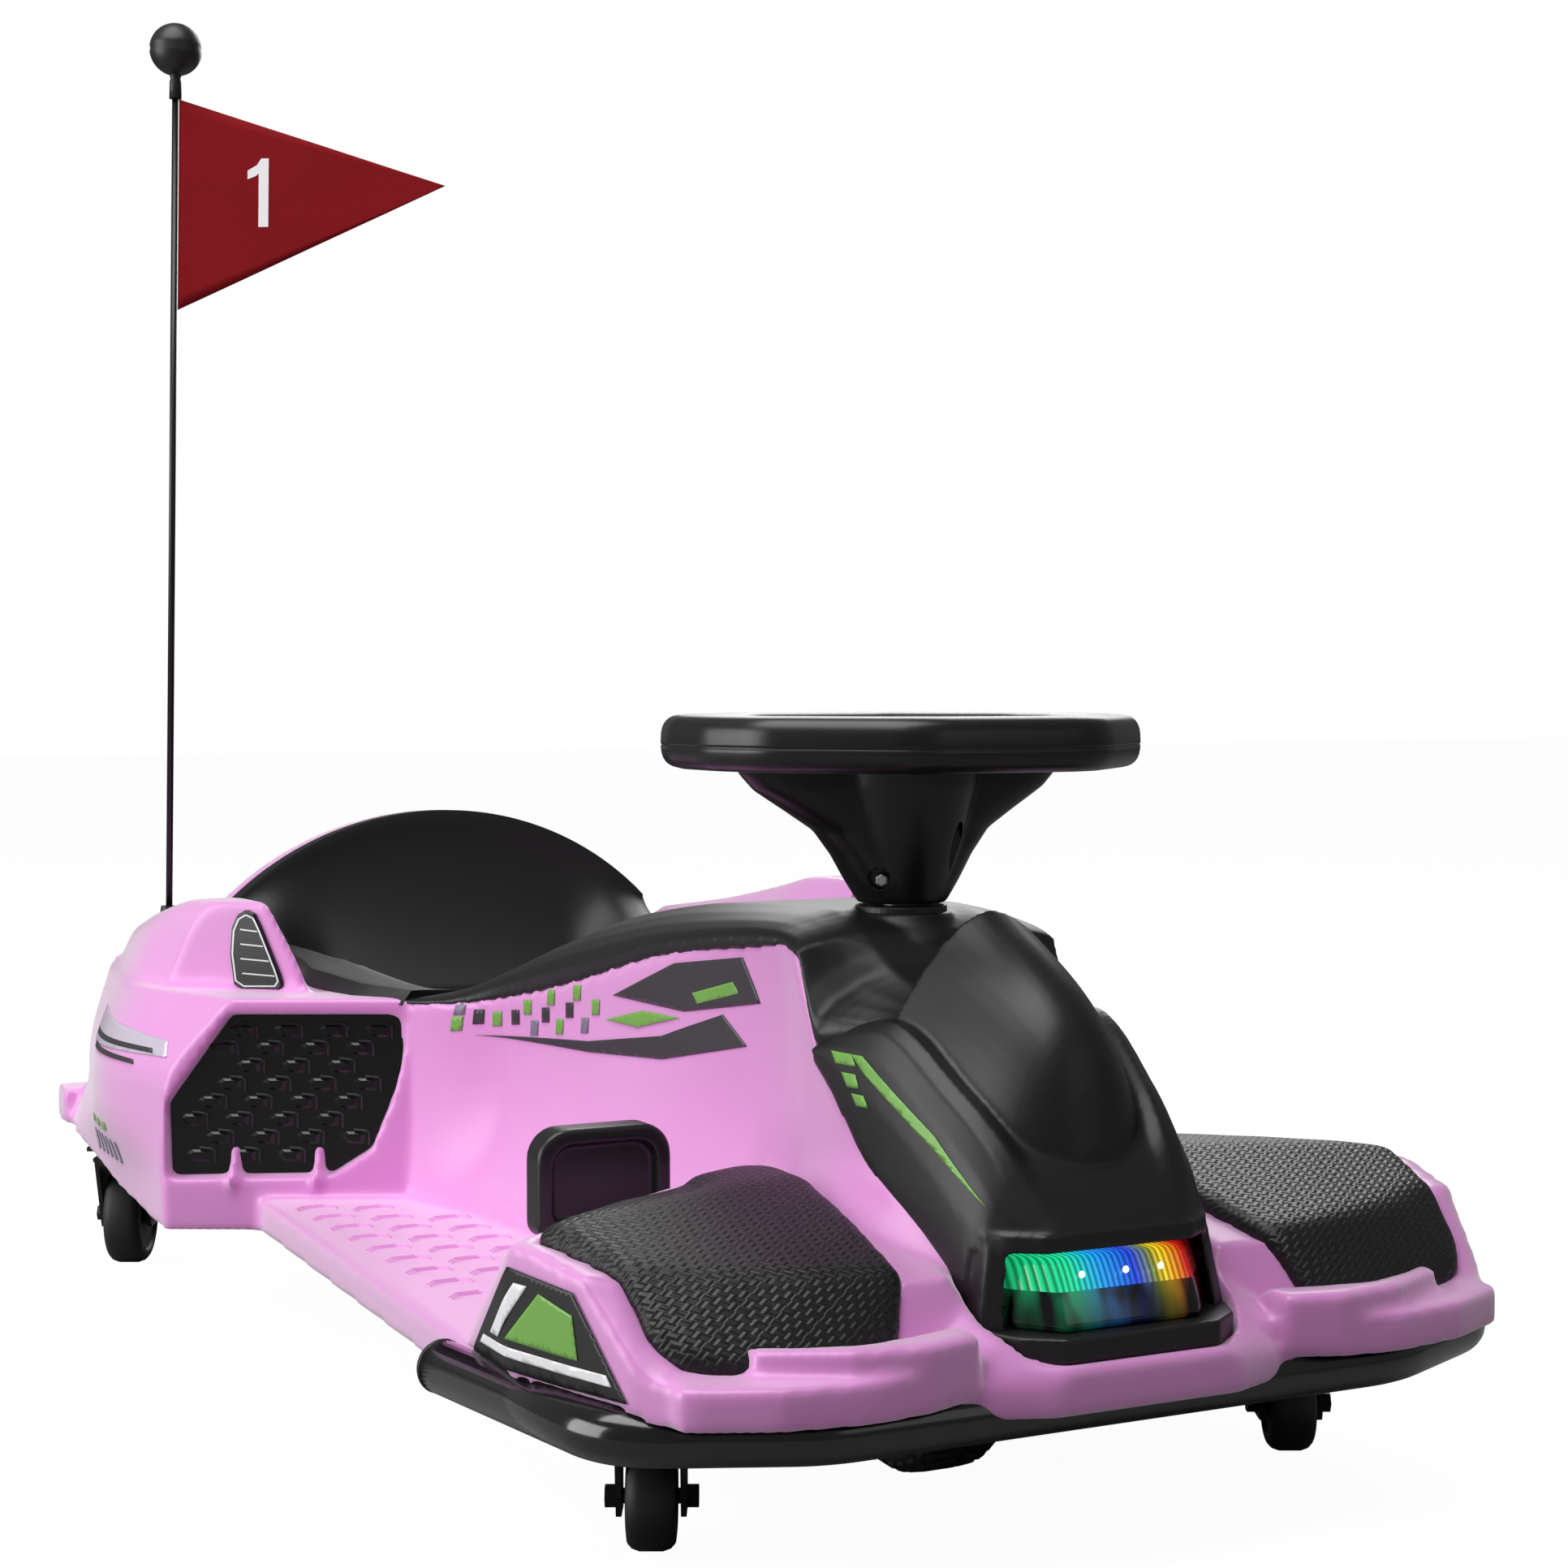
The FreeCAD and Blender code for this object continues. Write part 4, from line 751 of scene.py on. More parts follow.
# lit diode: a small spot, close to white
diode_glow, tree = new_material("diode_hot_spot")[:2]
finish(tree, node(tree, "ShaderNodeEmission", {"Color": linear("#E8FFFF"), "Strength": 1.6}))
mesh = bmesh.new()
for x in DIODE_X:
    lathed(mesh, Vector((x, DIODE_Y, DIODE_Z)), Vector((0, -1, 0)), ((0, 1.9), (0.8, 1.5), (1.2, 0.3)), 16)
diodes = add_piece("lamp_diodes", mesh, diode_glow)


# Foot pads: soft black PVC inserts with a moulded basket weave, pressed into the tops of the foot rests.
# The right one is cut down to a step behind which the pedal stands.
WEAVE_SQUARE = 5
WEAVE_RIB = 4
# moulded PVC: dull black that shows its weave by the light on the ribs. The weave is bump: ribs that turn by
# a quarter from one square to the next, drawn coarser than the real ones so that they show
pad_rubber, tree, place = new_material("black_pvc_basket_weave")
axes = node(tree, "ShaderNodeSeparateXYZ", {"Vector": place})
along = node(tree, "ShaderNodeMath", {0: axes.outputs["Z"], 1: axes.outputs["Y"]}, operation="ADD")
place = node(tree, "ShaderNodeCombineXYZ", {"X": axes.outputs["X"], "Y": along.outputs[0]})
place = node(tree, "ShaderNodeMapping", {
    "Vector": place.outputs[0], "Rotation": (0, 0, 0.785)}).outputs[0]
squares = node(tree, "ShaderNodeTexChecker", {"Vector": place, "Scale": 1 / (WEAVE_SQUARE * MM)})
rib_x = node(tree, "ShaderNodeTexWave", {"Vector": place, "Scale": waves_of(WEAVE_RIB)}, bands_direction="X")
rib_y = node(tree, "ShaderNodeTexWave", {"Vector": place, "Scale": waves_of(WEAVE_RIB)}, bands_direction="Y")
weave = node(tree, "ShaderNodeMix", {
    0: squares.outputs["Fac"], 2: rib_x.outputs["Fac"], 3: rib_y.outputs["Fac"]}, data_type="FLOAT")
bump = node(tree, "ShaderNodeBump", {"Height": weave.outputs[0], "Strength": 0.6, "Distance": 0.7 * MM})
# the black is painted a little lighter on the rib crests: a painted highlight for the light the ribs catch
tone = node(tree, "ShaderNodeMix", {
    0: weave.outputs[0], 6: linear("#060607"), 7: linear("#121213")}, data_type="RGBA")
finish(tree, node(tree, "ShaderNodeBsdfPrincipled", {
    "Base Color": tone.outputs[2], "Roughness": 0.46, "Normal": bump.outputs[0], "IOR": 1.5}))
# plan of what is cut away above the step of the right pad
PAD_STEP = (
    (-300, -270), (-300, -345), (-262, -360), (-231, -365), (-200, -354), (-176, -354), (-163, -348),
    (-154, -336), (-150, -318), (-150, -270),
)
PAD_STEP_Z = 173.5
PAD_SWELL = 2.6
for side in ("left", "right"):
    name = "foot_pad_" + side
    mesh = opened(nodes[name].data)
    if side == "right":
        bmesh.ops.remove_doubles(mesh, verts=mesh.verts, dist=0.01 * MM)
        step = bmesh.new()
        prism(step, PAD_STEP, PAD_STEP_Z, 260)
        mesh = carved(mesh, step)
    pad = add_piece(name + "_woven", mesh, pad_rubber)
    round_over(pad, 2.4, 60)
    swell = pad.modifiers.new("swell", "DISPLACE")
    swell.strength = PAD_SWELL * MM
    swell.mid_level = 0
    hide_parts(name)


# Pedal: an upright black nylon pad with rounded corners and a dished face, on an arm that comes up through
# the floor board behind the foot rest.
PEDAL_X = -183
PEDAL_MIDDLE_Z = 173
PEDAL_ARM_HALF = 12.2
PEDAL_ARM_TOP = 150
PEDAL_FRONT = -272
PEDAL_THICK = 20


def rounded_box(half, low, high, bend, steps=7):
    """Outline of an upright rectangle about x = 0 with rounded corners, as x and z."""
    out = []
    corners = ((half, low, -90), (half, high, 0), (-half, high, 90), (-half, low, 180))
    for x, z, start in corners:
        r = bend if z == high else bend * 0.5
        for k in range(steps + 1):
            t = math.radians(start + 90 * k / steps)
            centre_z = z - r if z == high else z + r
            out.append((x - math.copysign(r, x) + r * math.cos(t), centre_z + r * math.sin(t)))
    return out


mesh = opened(nodes["pedal"].data)
for side in (-1, 1):
    flank = bmesh.new()
    x0, x1 = sorted((PEDAL_X + side * PEDAL_ARM_HALF, PEDAL_X + side * 80))
    prism(flank, [(x0, -400), (x1, -400), (x1, -100), (x0, -100)], 0, 300)
    mesh = carved(mesh, flank)
above = bmesh.new()
prism(above, [(-260, -400), (-100, -400), (-100, -100), (-260, -100)], PEDAL_ARM_TOP, 300)
mesh = carved(mesh, above)
rim = rounded_box(39, 144, 203, 17)
inner = rounded_box(31, 152, 195, 12)
rings = []
for y, plan, grow in ((PEDAL_FRONT + PEDAL_THICK, rim, 0.96), (PEDAL_FRONT + PEDAL_THICK - 2, rim, 1.0),
                      (PEDAL_FRONT + 2, rim, 1.0), (PEDAL_FRONT, rim, 0.96), (PEDAL_FRONT, inner, 1.0),
                      (PEDAL_FRONT + 6, inner, 0.92)):
    rings.append([(PEDAL_X + x * grow, y, PEDAL_MIDDLE_Z + (z - PEDAL_MIDDLE_Z) * grow) for x, z in plan])
skin(mesh, rings)
pedal = add_piece("pedal_paddle", mesh, nylon)
round_over(pedal, 1.1, 5, 0.7)
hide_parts("pedal")


# Side panels: glossy black ABS inserts let into the front of each pod, with rows of raised hooks over small
# dimpled scales. Pods and panels face forward and outward, so every shape here is drawn on that swept plane.
PANEL_DEPTH = 11.5
# the pocket's outline, drawn in by a millimetre on its outer parts
PANEL = [(x + (x < 200) - (x > 250), z + (z < 150) - (z > 200)) for x, z in POCKET]
PANEL_ROWS = 10
PANEL_COLUMNS = 7
PANEL_CORNER = (158, 112)
HOOK_PITCH = (27, 12)
HOOK_SHIFT = 11.4
SCALE = ((8.5, 2), (5, 4.5), (-5, 4.5), (-8, 3), (-8, -4), (-4, -5), (4, -4))
HOOK = ((7.5, 5.6), (0.5, 4.8), (-1.6, 3.6), (-1.6, -4.6))
# polished ABS: black that mirrors the room
panel_plastic = grained("black_abs_gloss_moulded", "#050506", "#09090A", 0.2, 0.8, 0.01)
# polished ABS ribs: the panel's own black, painted a lighter grey as a painted highlight for the light their
# edges catch
hook_painted_highlight = grained("black_abs_ribs_painted_highlight", "#3C3C3E", "#464648", 0.24, 0.8, 0.01)


def inside(plan, x, z):
    """Whether a point lies in an outline."""
    hit = False
    for (x0, z0), (x1, z1) in zip(plan, plan[1:] + plan[:1]):
        if (z0 > z) != (z1 > z) and x < x0 + (x1 - x0) * (z - z0) / (z1 - z0):
            hit = not hit
    return hit


def ribbon(path, width):
    """Left and right edges of a flat strip along a path of pairs."""
    edges = []
    for i, (x, z) in enumerate(path):
        ahead, behind = path[min(i + 1, len(path) - 1)], path[max(i - 1, 0)]
        dx, dz = ahead[0] - behind[0], ahead[1] - behind[1]
        length = math.hypot(dx, dz)
        edges.append(((x - dz / length * width / 2, z + dx / length * width / 2),
                      (x + dz / length * width / 2, z - dx / length * width / 2)))
    return edges


for side, name in ((-1, "right"), (1, "left")):
    mesh = bmesh.new()
    skin(mesh, [[on_front(side, x, z, d) for x, z in PANEL] for d in (PANEL_DEPTH + 4, PANEL_DEPTH)])
    hooks = bmesh.new()
    for row in range(PANEL_ROWS):
        shift = (HOOK_SHIFT * (PANEL_ROWS - 1 - row)) % HOOK_PITCH[0]
        for column in range(PANEL_COLUMNS):
            x = PANEL_CORNER[0] + HOOK_PITCH[0] * column + shift
            z = PANEL_CORNER[1] + HOOK_PITCH[1] * row
            if not all(inside(PANEL, x + dx * 1.2, z + dz * 1.2) for dx, dz in HOOK):
                continue
            scale = [[on_front(side, x + 8 + dx * r, z + dz * r, d) for dx, dz in SCALE]
                     for r, d in ((1, PANEL_DEPTH + 0.4), (0.55, PANEL_DEPTH - 1.0))]
            skin(mesh, scale)
            rings = []
            for a, b in ribbon([(x + dx, z + dz) for dx, dz in HOOK], 1.5):
                low = PANEL_DEPTH - 0.6
                middle = ((a[0] + b[0]) / 2, (a[1] + b[1]) / 2)
                rings.append([on_front(side, *a, low), on_front(side, *middle, PANEL_DEPTH - 2.6),
                              on_front(side, *b, low)])
            skin(hooks, rings)
    panel = add_piece("side_panel_" + name, mesh, panel_plastic, smooth=False)
    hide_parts("mesh_panel_" + name)
    # the hooks take the lighter grey: a painted highlight on their edges
    ribs = add_piece("side_panel_hooks_" + name, hooks, hook_painted_highlight, smooth=False)


# Vents: small black ABS inserts in the front of each hump. A bright outline and four louvre lines are printed
# on them.
VENT = (
    (221, 232), (240, 231), (245, 235), (247, 256), (246, 274), (243, 283), (238.5, 286.5), (234, 284),
    (231, 276), (226, 260), (221, 244), (219, 236),
)
VENT_MIDDLE = (235, 258)
# columns: inner x, outer x, z
LOUVRES = ((223, 243, 242), (226, 244, 252), (229, 244, 262), (232, 244, 272))
# metallic screen ink: a pale silver with a soft gleam
silver_ink = grained("silver_screen_ink", "#B9BBBE", "#C9CBCD", 0.32, 0.6, 0.004, metallic=0.7)


def on_hump(side, x, z, out):
    """Point at a height over the front face of a hump."""
    (x0, y0), (x1, y1) = HUMP_FACE
    slope = (y1 - y0) / (x1 - x0)
    length = math.hypot(1, slope)
    return (side * (x + slope / length * out), y0 + slope * (x - x0) - out / length, z)


for side, name in ((-1, "right"), (1, "left")):
    mesh = bmesh.new()
    skin(mesh, [[on_hump(side, x, z, out) for x, z in VENT] for out in (-3, 3)])
    vent = add_piece("vent_insert_" + name, mesh, panel_plastic, smooth=False)
    soften(vent, 1.2, segments=3)
    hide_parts("vent_" + name)
    mesh = bmesh.new()
    xm, zm = VENT_MIDDLE
    edge = [(xm + (x - xm) * 0.86, zm + (z - zm) * 0.88) for x, z in VENT]
    paths = [[edge[i], edge[(i + 1) % len(edge)]] for i in range(len(edge))]
    paths += [[(x0, z), (x1 - 3, z + 1)] for x0, x1, z in LOUVRES]
    for path in paths:
        rings = []
        for a, b in ribbon(path, 0.9):
            section = ((a, 3.05), (a, 3.35), (b, 3.35), (b, 3.05))
            rings.append([on_hump(side, *at, out) for at, out in section])
        skin(mesh, rings)
    lines = add_piece("vent_lines_" + name, mesh, silver_ink, smooth=False)


# Seat: one blow-moulded polyethylene shell that sweeps from a level pan up into an arched back. It lies
# between the pods and its rim is rolled over on both sides.
ARCH_R = 250
ARCH_CENTRE_Z = 87
SEAT_FRONT_Y = 121
# share of the way from the front edge to the top that the pan takes, its length and the back's lean
PAN_SHARE = 0.52
PAN_LENGTH = 310
BACK_LEAN = 52
PAN_HIGH = 232
PAN_DROP = 34
RIM_HIGH = 234
ROLL_WIDTH = 7
ROLL_DROP = 9
SEAT_STEPS = (60, 48)
# blow-moulded polyethylene: black with a broad, weak sheen
seat_polyethylene = grained("black_polyethylene_satin", "#0B0B0C", "#101011", 0.5, 0.9, 0.015)
# half-width of the seat with its flange, by y
FLANGE = ((121, 160), (152, 184), (228, 197), (290, 184), (345, 178), (600, 177))


def smooth_step(t):
    """Ease from 0 to 1."""
    t = max(0.0, min(1.0, t))
    return t * t * (3 - 2 * t)


def seat_point(s, t):
    """Point on the seat: s runs from the front edge over the pan and up the back, t from side to side."""
    rise = max(0.0, min(1.0, (s - PAN_SHARE) / (1 - PAN_SHARE)))
    y = SEAT_FRONT_Y + PAN_LENGTH * min(s / PAN_SHARE, 1) ** 0.95 + BACK_LEAN * math.sin(rise * math.pi / 2)
    half = between(FLANGE, y)
    x = t * half
    dip = min(1.0, s / 0.22)
    pan = PAN_HIGH - PAN_DROP * math.sin(dip * math.pi / 2)
    rim = RIM_HIGH + 6 * dip
    floor_z = pan + (rim - pan) * smooth_step((abs(x) - 100) / 50)
    flange = min(abs(x) - 150, 40) * 0.06 if abs(x) > 150 else 0
    roll = max(0.0, abs(x) - half + ROLL_WIDTH) / ROLL_WIDTH
    floor_z += flange - ROLL_DROP * (1 - math.sqrt(max(0, 1 - roll * roll))) * (1 - rise)
    top = ARCH_CENTRE_Z + math.sqrt(ARCH_R ** 2 - x * x)
    return (x, y, floor_z + (top - floor_z) * rise ** 1.25)


mesh = bmesh.new()
rows, columns = SEAT_STEPS
grid = []
for i in range(rows + 1):
    points = [seat_point(i / rows, -1 + 2 * j / columns) for j in range(columns + 1)]
    grid.append([mesh.verts.new(Vector(point) * MM) for point in points])
back = [mesh.verts.new(v.co + Vector((0, 0.012, -0.0005))) for v in grid[-1]]
drop = [mesh.verts.new(v.co + Vector((0, 0.004, -0.02))) for v in back]
for lower, upper in zip(grid + [back], grid[1:] + [back, drop]):
    for j in range(columns):
        mesh.faces.new((lower[j], lower[j + 1], upper[j + 1], upper[j]))
seat = add_piece("seat_shell", mesh, seat_polyethylene)
thicken(seat, 4, 0)
soften(seat, 1.5, segments=3, limit_method="ANGLE")
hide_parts("seat")


# Power button: a red ABS dome in a black polyethylene collar. The collar is pressed into the top of the
# cover.

# moulded ABS: a full red with a small, sharp highlight
red_button = grained("red_abs_moulded", "#B01020", "#B81424", 0.25, 0.7, 0.01)
BUTTON = Vector((0, 24, 268))
mesh = bmesh.new()
lathed(mesh, BUTTON, UP, ((2, 16.5), (13, 16), (15.5, 14.5), (16, 12.6)), 40)
collar = add_piece("button_collar", mesh, black_plug)
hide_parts("button_base")
mesh = bmesh.new()
lathed(mesh, BUTTON, UP, ((15, 11.6), (18, 11.6), (19.4, 10), (20, 6)), 40)
button = add_piece("power_button_dome", mesh, red_button)
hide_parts("power_button")


# Steering: a steel shaft in a black collar carries a moulded hub with two wings, and a full, rounded rim with
# a part line round its middle. The rim's outline is a rounded octagon.
RIM_Z = 408.8
RIM_QUARTER = ((120, 19), (109, 52), (50, 108))
RIM_BENDS = 34
# the rim's section: x outward and z up from its middle, with the part line's groove at -3 degrees
RIM_SECTION = []
for degrees in [-88 + 11 * k for k in range(8)] + [-4.2, -3, -1.8] + [11 * k for k in range(9)]:
    c, s = math.cos(math.radians(degrees)), math.sin(math.radians(degrees))
    groove = 0.8 if degrees == -3 else 0
    RIM_SECTION.append((16 * c ** 0.62 - groove, 15.1 * math.copysign(abs(s) ** 0.72, s)))
RIM_SECTION += [(-x, z) for x, z in reversed(RIM_SECTION)]
dress("steering_shaft", zinc)
mesh = bmesh.new()
lathed(mesh, STEER, UP, ((186, 13), (186, 17), (289, 17), (290, 27.2), (316.4, 26), (316.4, 13)), 48)
sleeve = add_piece("column_sleeve", mesh, black_polypropylene, smooth=False)
soften(sleeve, 1.2, segments=2)
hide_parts("column_collar")

quarter = [Vector((x, y, 0)) for x, y in RIM_QUARTER]
plan = [Vector((v.x, -v.y, 0)) for v in reversed(quarter)] + quarter
plan += [Vector((-v.x, v.y, 0)) for v in reversed(quarter)] + [Vector((-v.x, -v.y, 0)) for v in quarter]
middle = (plan[0] + plan[-1]) / 2
path = rounded_path([middle] + plan + [middle], [RIM_BENDS] * len(plan), 6)[:-1]
mesh = bmesh.new()
loops = []
for i, point in enumerate(path):
    along = (path[(i + 1) % len(path)] - path[i - 1]).normalized()
    out = Vector((along.y, -along.x, 0))
    loop = []
    for x, z in RIM_SECTION:
        loop.append(mesh.verts.new((STEER + point + out * x + UP * (RIM_Z + z)) * MM))
    loops.append(loop)
for i, loop in enumerate(loops):
    for k in range(len(loop)):
        mesh.faces.new((loops[i - 1][k - 1], loops[i - 1][k], loop[k], loop[k - 1]))
# satin polypropylene: charcoal with soft highlights
rim_material = grained("black_polypropylene_satin", "#0F0F10", "#141415", 0.34, 0.7, 0.015)
rim = add_piece("steering_rim_padded", mesh, rim_material, "steering")
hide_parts("steering_rim")

# columns: z, half-width, half-depth of the winged part
WINGS = (
    (319, 24, 24), (330, 32, 25), (345, 42, 24), (359, 54, 22), (370, 72, 21), (382, 92, 20), (392, 102, 19),
    (398, 103, 19), (408, 106, 20),
)
mesh = bmesh.new()
rings = []
for z, half, depth in WINGS:
    ring = []
    for k in range(40):
        t = 2 * math.pi * k / 40
        c, s = math.cos(t), math.sin(t)
        x = half * math.copysign(abs(c) ** 0.8, c)
        ring.append((x, STEER.y + depth * math.copysign(abs(s) ** 0.7, s), z))
    rings.append(ring)
skin(mesh, rings)
lathed(mesh, STEER, UP, ((317.6, 25), (321, 26), (358, 36), (384, 43), (402, 45), (416, 43), (419, 39)), 48)
BOLT = Vector((-24, -292, 331))
bolt_along = Vector((-0.6, -0.78, -0.15)).normalized()
slot_cut = bmesh.new()
lathed(slot_cut, BOLT + Vector((2, 6, 2)), bolt_along, ((0, 6), (14, 6.6)), 24)
ring_a = [(20 + 5.2 * math.cos(t), STEER.y - 22, 349 + 15 * math.sin(t) + 1.5 * math.cos(t))
          for t in [2 * math.pi * k / 28 for k in range(28)]]
skin(slot_cut, [[(x, y - dy, z) for x, y, z in ring_a] for dy in (2, 30)])
hub = add_piece("steering_hub_winged", mesh, rim_material, "steering")
round_over(hub, 1.7, 5)
cut_baked(hub, slot_cut)
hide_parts("steering_hub")
mesh = bmesh.new()
lathed(mesh, BOLT + Vector((1, 3, 1)), bolt_along, ((0, 3.6), (2.4, 3.6), (3, 2.8)), 6)
bolt = add_piece("hub_bolt", mesh, zinc, "steering", smooth=False)


# Flag: a glass-fibre whip in a plug on the rider's right pod, with a plastic ball and ferrule on top. A woven
# polyester pennant is held on it by its edge, stretched out towards the rider's left.
FOOT = Vector((-235, 435, 262))
BALL = Vector((-224.5, 435, 915))
BALL_RADIUS = 19.4
pole_along = (BALL - FOOT).normalized()
pole_length = (BALL - FOOT).length
# glass fibre in resin: smooth and dark, with one long thin highlight
whip = grained("glass_fibre_pole_black", "#070708", "#0B0B0C", 0.35, 2.0, 0.01)
mesh = bmesh.new()
lathed(mesh, FOOT, pole_along, ((-4, 2.45), (pole_length - 20, 2.45)), 20)
pole = add_piece("flag_whip", mesh, whip)
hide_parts("flag_pole")
mesh = bmesh.new()
profile = []
for k in range(25):
    t = math.pi * (k / 24 - 0.5)
    if abs(t) < 1.5:
        seam = 0.7 if abs(t) < 0.04 else 0
        profile.append((BALL_RADIUS * math.sin(t), BALL_RADIUS * math.cos(t) - seam))
lathed(mesh, BALL, pole_along, profile, 48)
lathed(mesh, BALL, pole_along, ((-36.5, 3), (-36.5, 4.6), (-24, 4.4), (-22, 3.8), (-19, 4.4), (-16, 7.5)), 28)
ball = add_piece("flag_ball_two_part", mesh, black_plug)
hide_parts("flag_ball")
dress("flag_socket", black_plug, 0.6)

FLAG_TOP = 878
FLAG_HEIGHT = 157
FLAG_LENGTH = 203
# share of the height by which the tip lies below the top
TIP_DROP = 0.41
THREAD = 1.05
FLAG_TURN = math.radians(-27.2)
flag_out = Vector((math.cos(FLAG_TURN), math.sin(FLAG_TURN), 0))
flag_side = Vector((-flag_out.y, flag_out.x, 0))


def on_flag(u, v, lift=0.0):
    """Point on the pennant: u runs from the pole to the tip and v from the lower edge to the upper."""
    low, high = FLAG_HEIGHT * (TIP_DROP - 1) * (1 - u), FLAG_HEIGHT * TIP_DROP * (1 - u)
    z = FLAG_TOP - FLAG_HEIGHT * TIP_DROP + low + (high - low) * v
    pole = FOOT + pole_along * ((z - FOOT.z) / pole_along.z)
    wave = 0.45 * math.sin(u * 9) * u * (1 - u) * 4 * (0.6 + 0.4 * v)
    return pole + flag_out * (2.9 + (FLAG_LENGTH - 2.9) * u) + flag_side * (wave - lift)


# woven polyester: a deep, matt red. Its threads are drawn at about 1 mm, coarser than real, so that they show
polyester, tree, place = new_material("red_polyester_woven")
threads = node(tree, "ShaderNodeTexWave", {"Vector": place, "Scale": waves_of(THREAD)}, bands_direction="Z")
folds = node(tree, "ShaderNodeTexNoise", {"Vector": place, "Scale": 14.0, "Detail": 2.0})
tone = node(tree, "ShaderNodeMix", {
    0: folds.outputs["Fac"], 6: linear("#76050F"), 7: linear("#840813")}, data_type="RGBA")
bump = node(tree, "ShaderNodeBump", {
    "Height": threads.outputs["Fac"], "Strength": 0.3, "Distance": 0.1 * MM})
finish(tree, node(tree, "ShaderNodeBsdfPrincipled", {
    "Base Color": tone.outputs[2], "Roughness": 0.9, "Normal": bump.outputs[0], "IOR": 1.3}))
mesh = bmesh.new()
front = [[mesh.verts.new(on_flag(i / 40 * 0.997, j / 16) * MM) for j in range(17)] for i in range(41)]
for lower, upper in zip(front, front[1:]):
    for j in range(16):
        mesh.faces.new((lower[j], lower[j + 1], upper[j + 1], upper[j]))
cloth = add_piece("flag_pennant", mesh, polyester)
thicken(cloth, 0.5, 0)
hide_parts("flag_cloth")

# screen ink: a flat, slightly warm white
white_ink = grained("white_screen_ink", "#E6E4E6", "#EFEDEF", 0.6, 0.5, 0.005)
# a plain 1, as x and z from its place on the cloth
DIGIT = ((0, 0), (7.5, 0), (7.5, 51), (1.8, 51), (-1.5, 46), (-8.5, 42), (-8.5, 35.5), (-2, 38), (0, 40))
DIGIT_PLACE = (61, 62)
mesh = bmesh.new()
face = []
for x, z in DIGIT:
    u = (DIGIT_PLACE[0] + x) / FLAG_LENGTH
    height = FLAG_HEIGHT * (1 - u)
    v = (DIGIT_PLACE[1] + z - FLAG_HEIGHT * (1 - TIP_DROP) * u) / height
    face.append((u, v))
skin(mesh, [[on_flag(u, v, lift) for u, v in face] for lift in (0.3, 0.55)])
digit = add_piece("flag_numeral", mesh, white_ink, smooth=False)


# Stickers: printed vinyl film with plain checks, wedges and bars, pressed on to the flanks, the hood and the
# sides of the foot rests and pods. Each is drawn from the side and laid on the surface.
def vinyl(name, code, roughness=0.35, metallic=0.0):
    """Printed film: one flat colour under an even gloss, and a gleam where it has metal in it."""
    return grained(name, code, code, roughness, 0.5, 0.003, metallic=metallic)


vinyl_dark = vinyl("vinyl_film_charcoal", "#39373B")
vinyl_grey = vinyl("vinyl_film_grey", "#7F7A8C")
vinyl_green = vinyl("vinyl_film_green", "#74AE4C")
vinyl_white = vinyl("vinyl_film_white", "#EDEBEE")
vinyl_pearl = vinyl("vinyl_film_pearl", "#D9CFE0", 0.25, 0.3)
vinyl_black = vinyl("vinyl_film_black", "#1A1B1C")


def stick(name, tree, shapes, material, lift_mm=0.3):
    """Lay flat shapes, drawn in y and z, on both sides of a surface."""
    for side in (-1, 1):
        mesh = bmesh.new()
        for shape in shapes:
            mesh.faces.new([mesh.verts.new((0, y * MM, z * MM)) for y, z in shape])
        bmesh.ops.triangulate(mesh, faces=mesh.faces)
        for _ in range(3):
            long = [edge for edge in mesh.edges if edge.calc_length() > 4 * MM]
            bmesh.ops.subdivide_edges(mesh, edges=long, cuts=2)
            bmesh.ops.triangulate(mesh, faces=mesh.faces)
        missed = []
        for v in mesh.verts:
            from_side = Vector((side * 0.6, v.co.y, v.co.z))
            place, normal = tree.ray_cast(from_side, Vector((-side, 0, 0)))[:2]
            if place is None:
                missed.append(v)
            else:
                v.co = place + normal * lift_mm * MM
        bmesh.ops.delete(mesh, geom=missed, context="VERTS")
        piece = add_piece(name + ("_right" if side < 0 else "_left"), mesh, material)
        thicken(piece, 0.15, 1)


def slanted(y, z, width, height, lean=3):
    """Outline of a small block that leans towards the nose."""
    return ((y, z), (y - width, z + 1), (y - width - lean, z + height + 1), (y - lean, z + height))


CHECKS = (
    # columns: y, z, colour number
    (84, 212, 2), (80, 223, 1), (66, 218, 0), (50, 218, 2), (30, 221, 0), (14, 229, 2), (10, 216, 1),
    (-6, 226, 0), (-16, 238, 2), (-21, 220, 2), (-36, 232, 0), (-48, 244, 2), (-52, 224, 1), (-68, 237, 2),
)
FLANK_DARK = (
    ((66, 211), (-60, 220), (-150, 233), (-214, 252), (-236, 236), (-150, 219), (-60, 213)),
    ((-96, 252), (-170, 278), (-238, 287), (-252, 262), (-176, 250)),
)
FLANK_GREEN = (
    ((-84, 236), (-130, 246), (-172, 246), (-122, 235)),
    ((-186, 262), (-226, 272), (-232, 266), (-190, 256)),
)
for number, material in enumerate((vinyl_dark, vinyl_grey, vinyl_green)):
    shapes = [slanted(y, z, 9, 10) for y, z, colour in CHECKS if colour == number]
    if number == 0:
        shapes += FLANK_DARK
    if number == 2:
        stick("flank_accents", pink_tree, FLANK_GREEN, material, 0.6)
    stick("flank_checks_%d" % number, pink_tree, shapes, material)

stick("footrest_wedge", pink_tree, [((-322, 104), (-372, 156), (-424, 152), (-462, 106))], vinyl_black, 1.0)
stick("footrest_bars", pink_tree, [
    ((-350, 119), (-361, 119), (-389, 149), (-378, 149)),
    ((-335, 111), (-452, 112), (-448, 117), (-340, 116)),
], vinyl_white, 1.4)
stick("footrest_block", pink_tree, [((-370, 120), (-428, 120), (-424, 141), (-398, 147))], vinyl_green, 1.4)

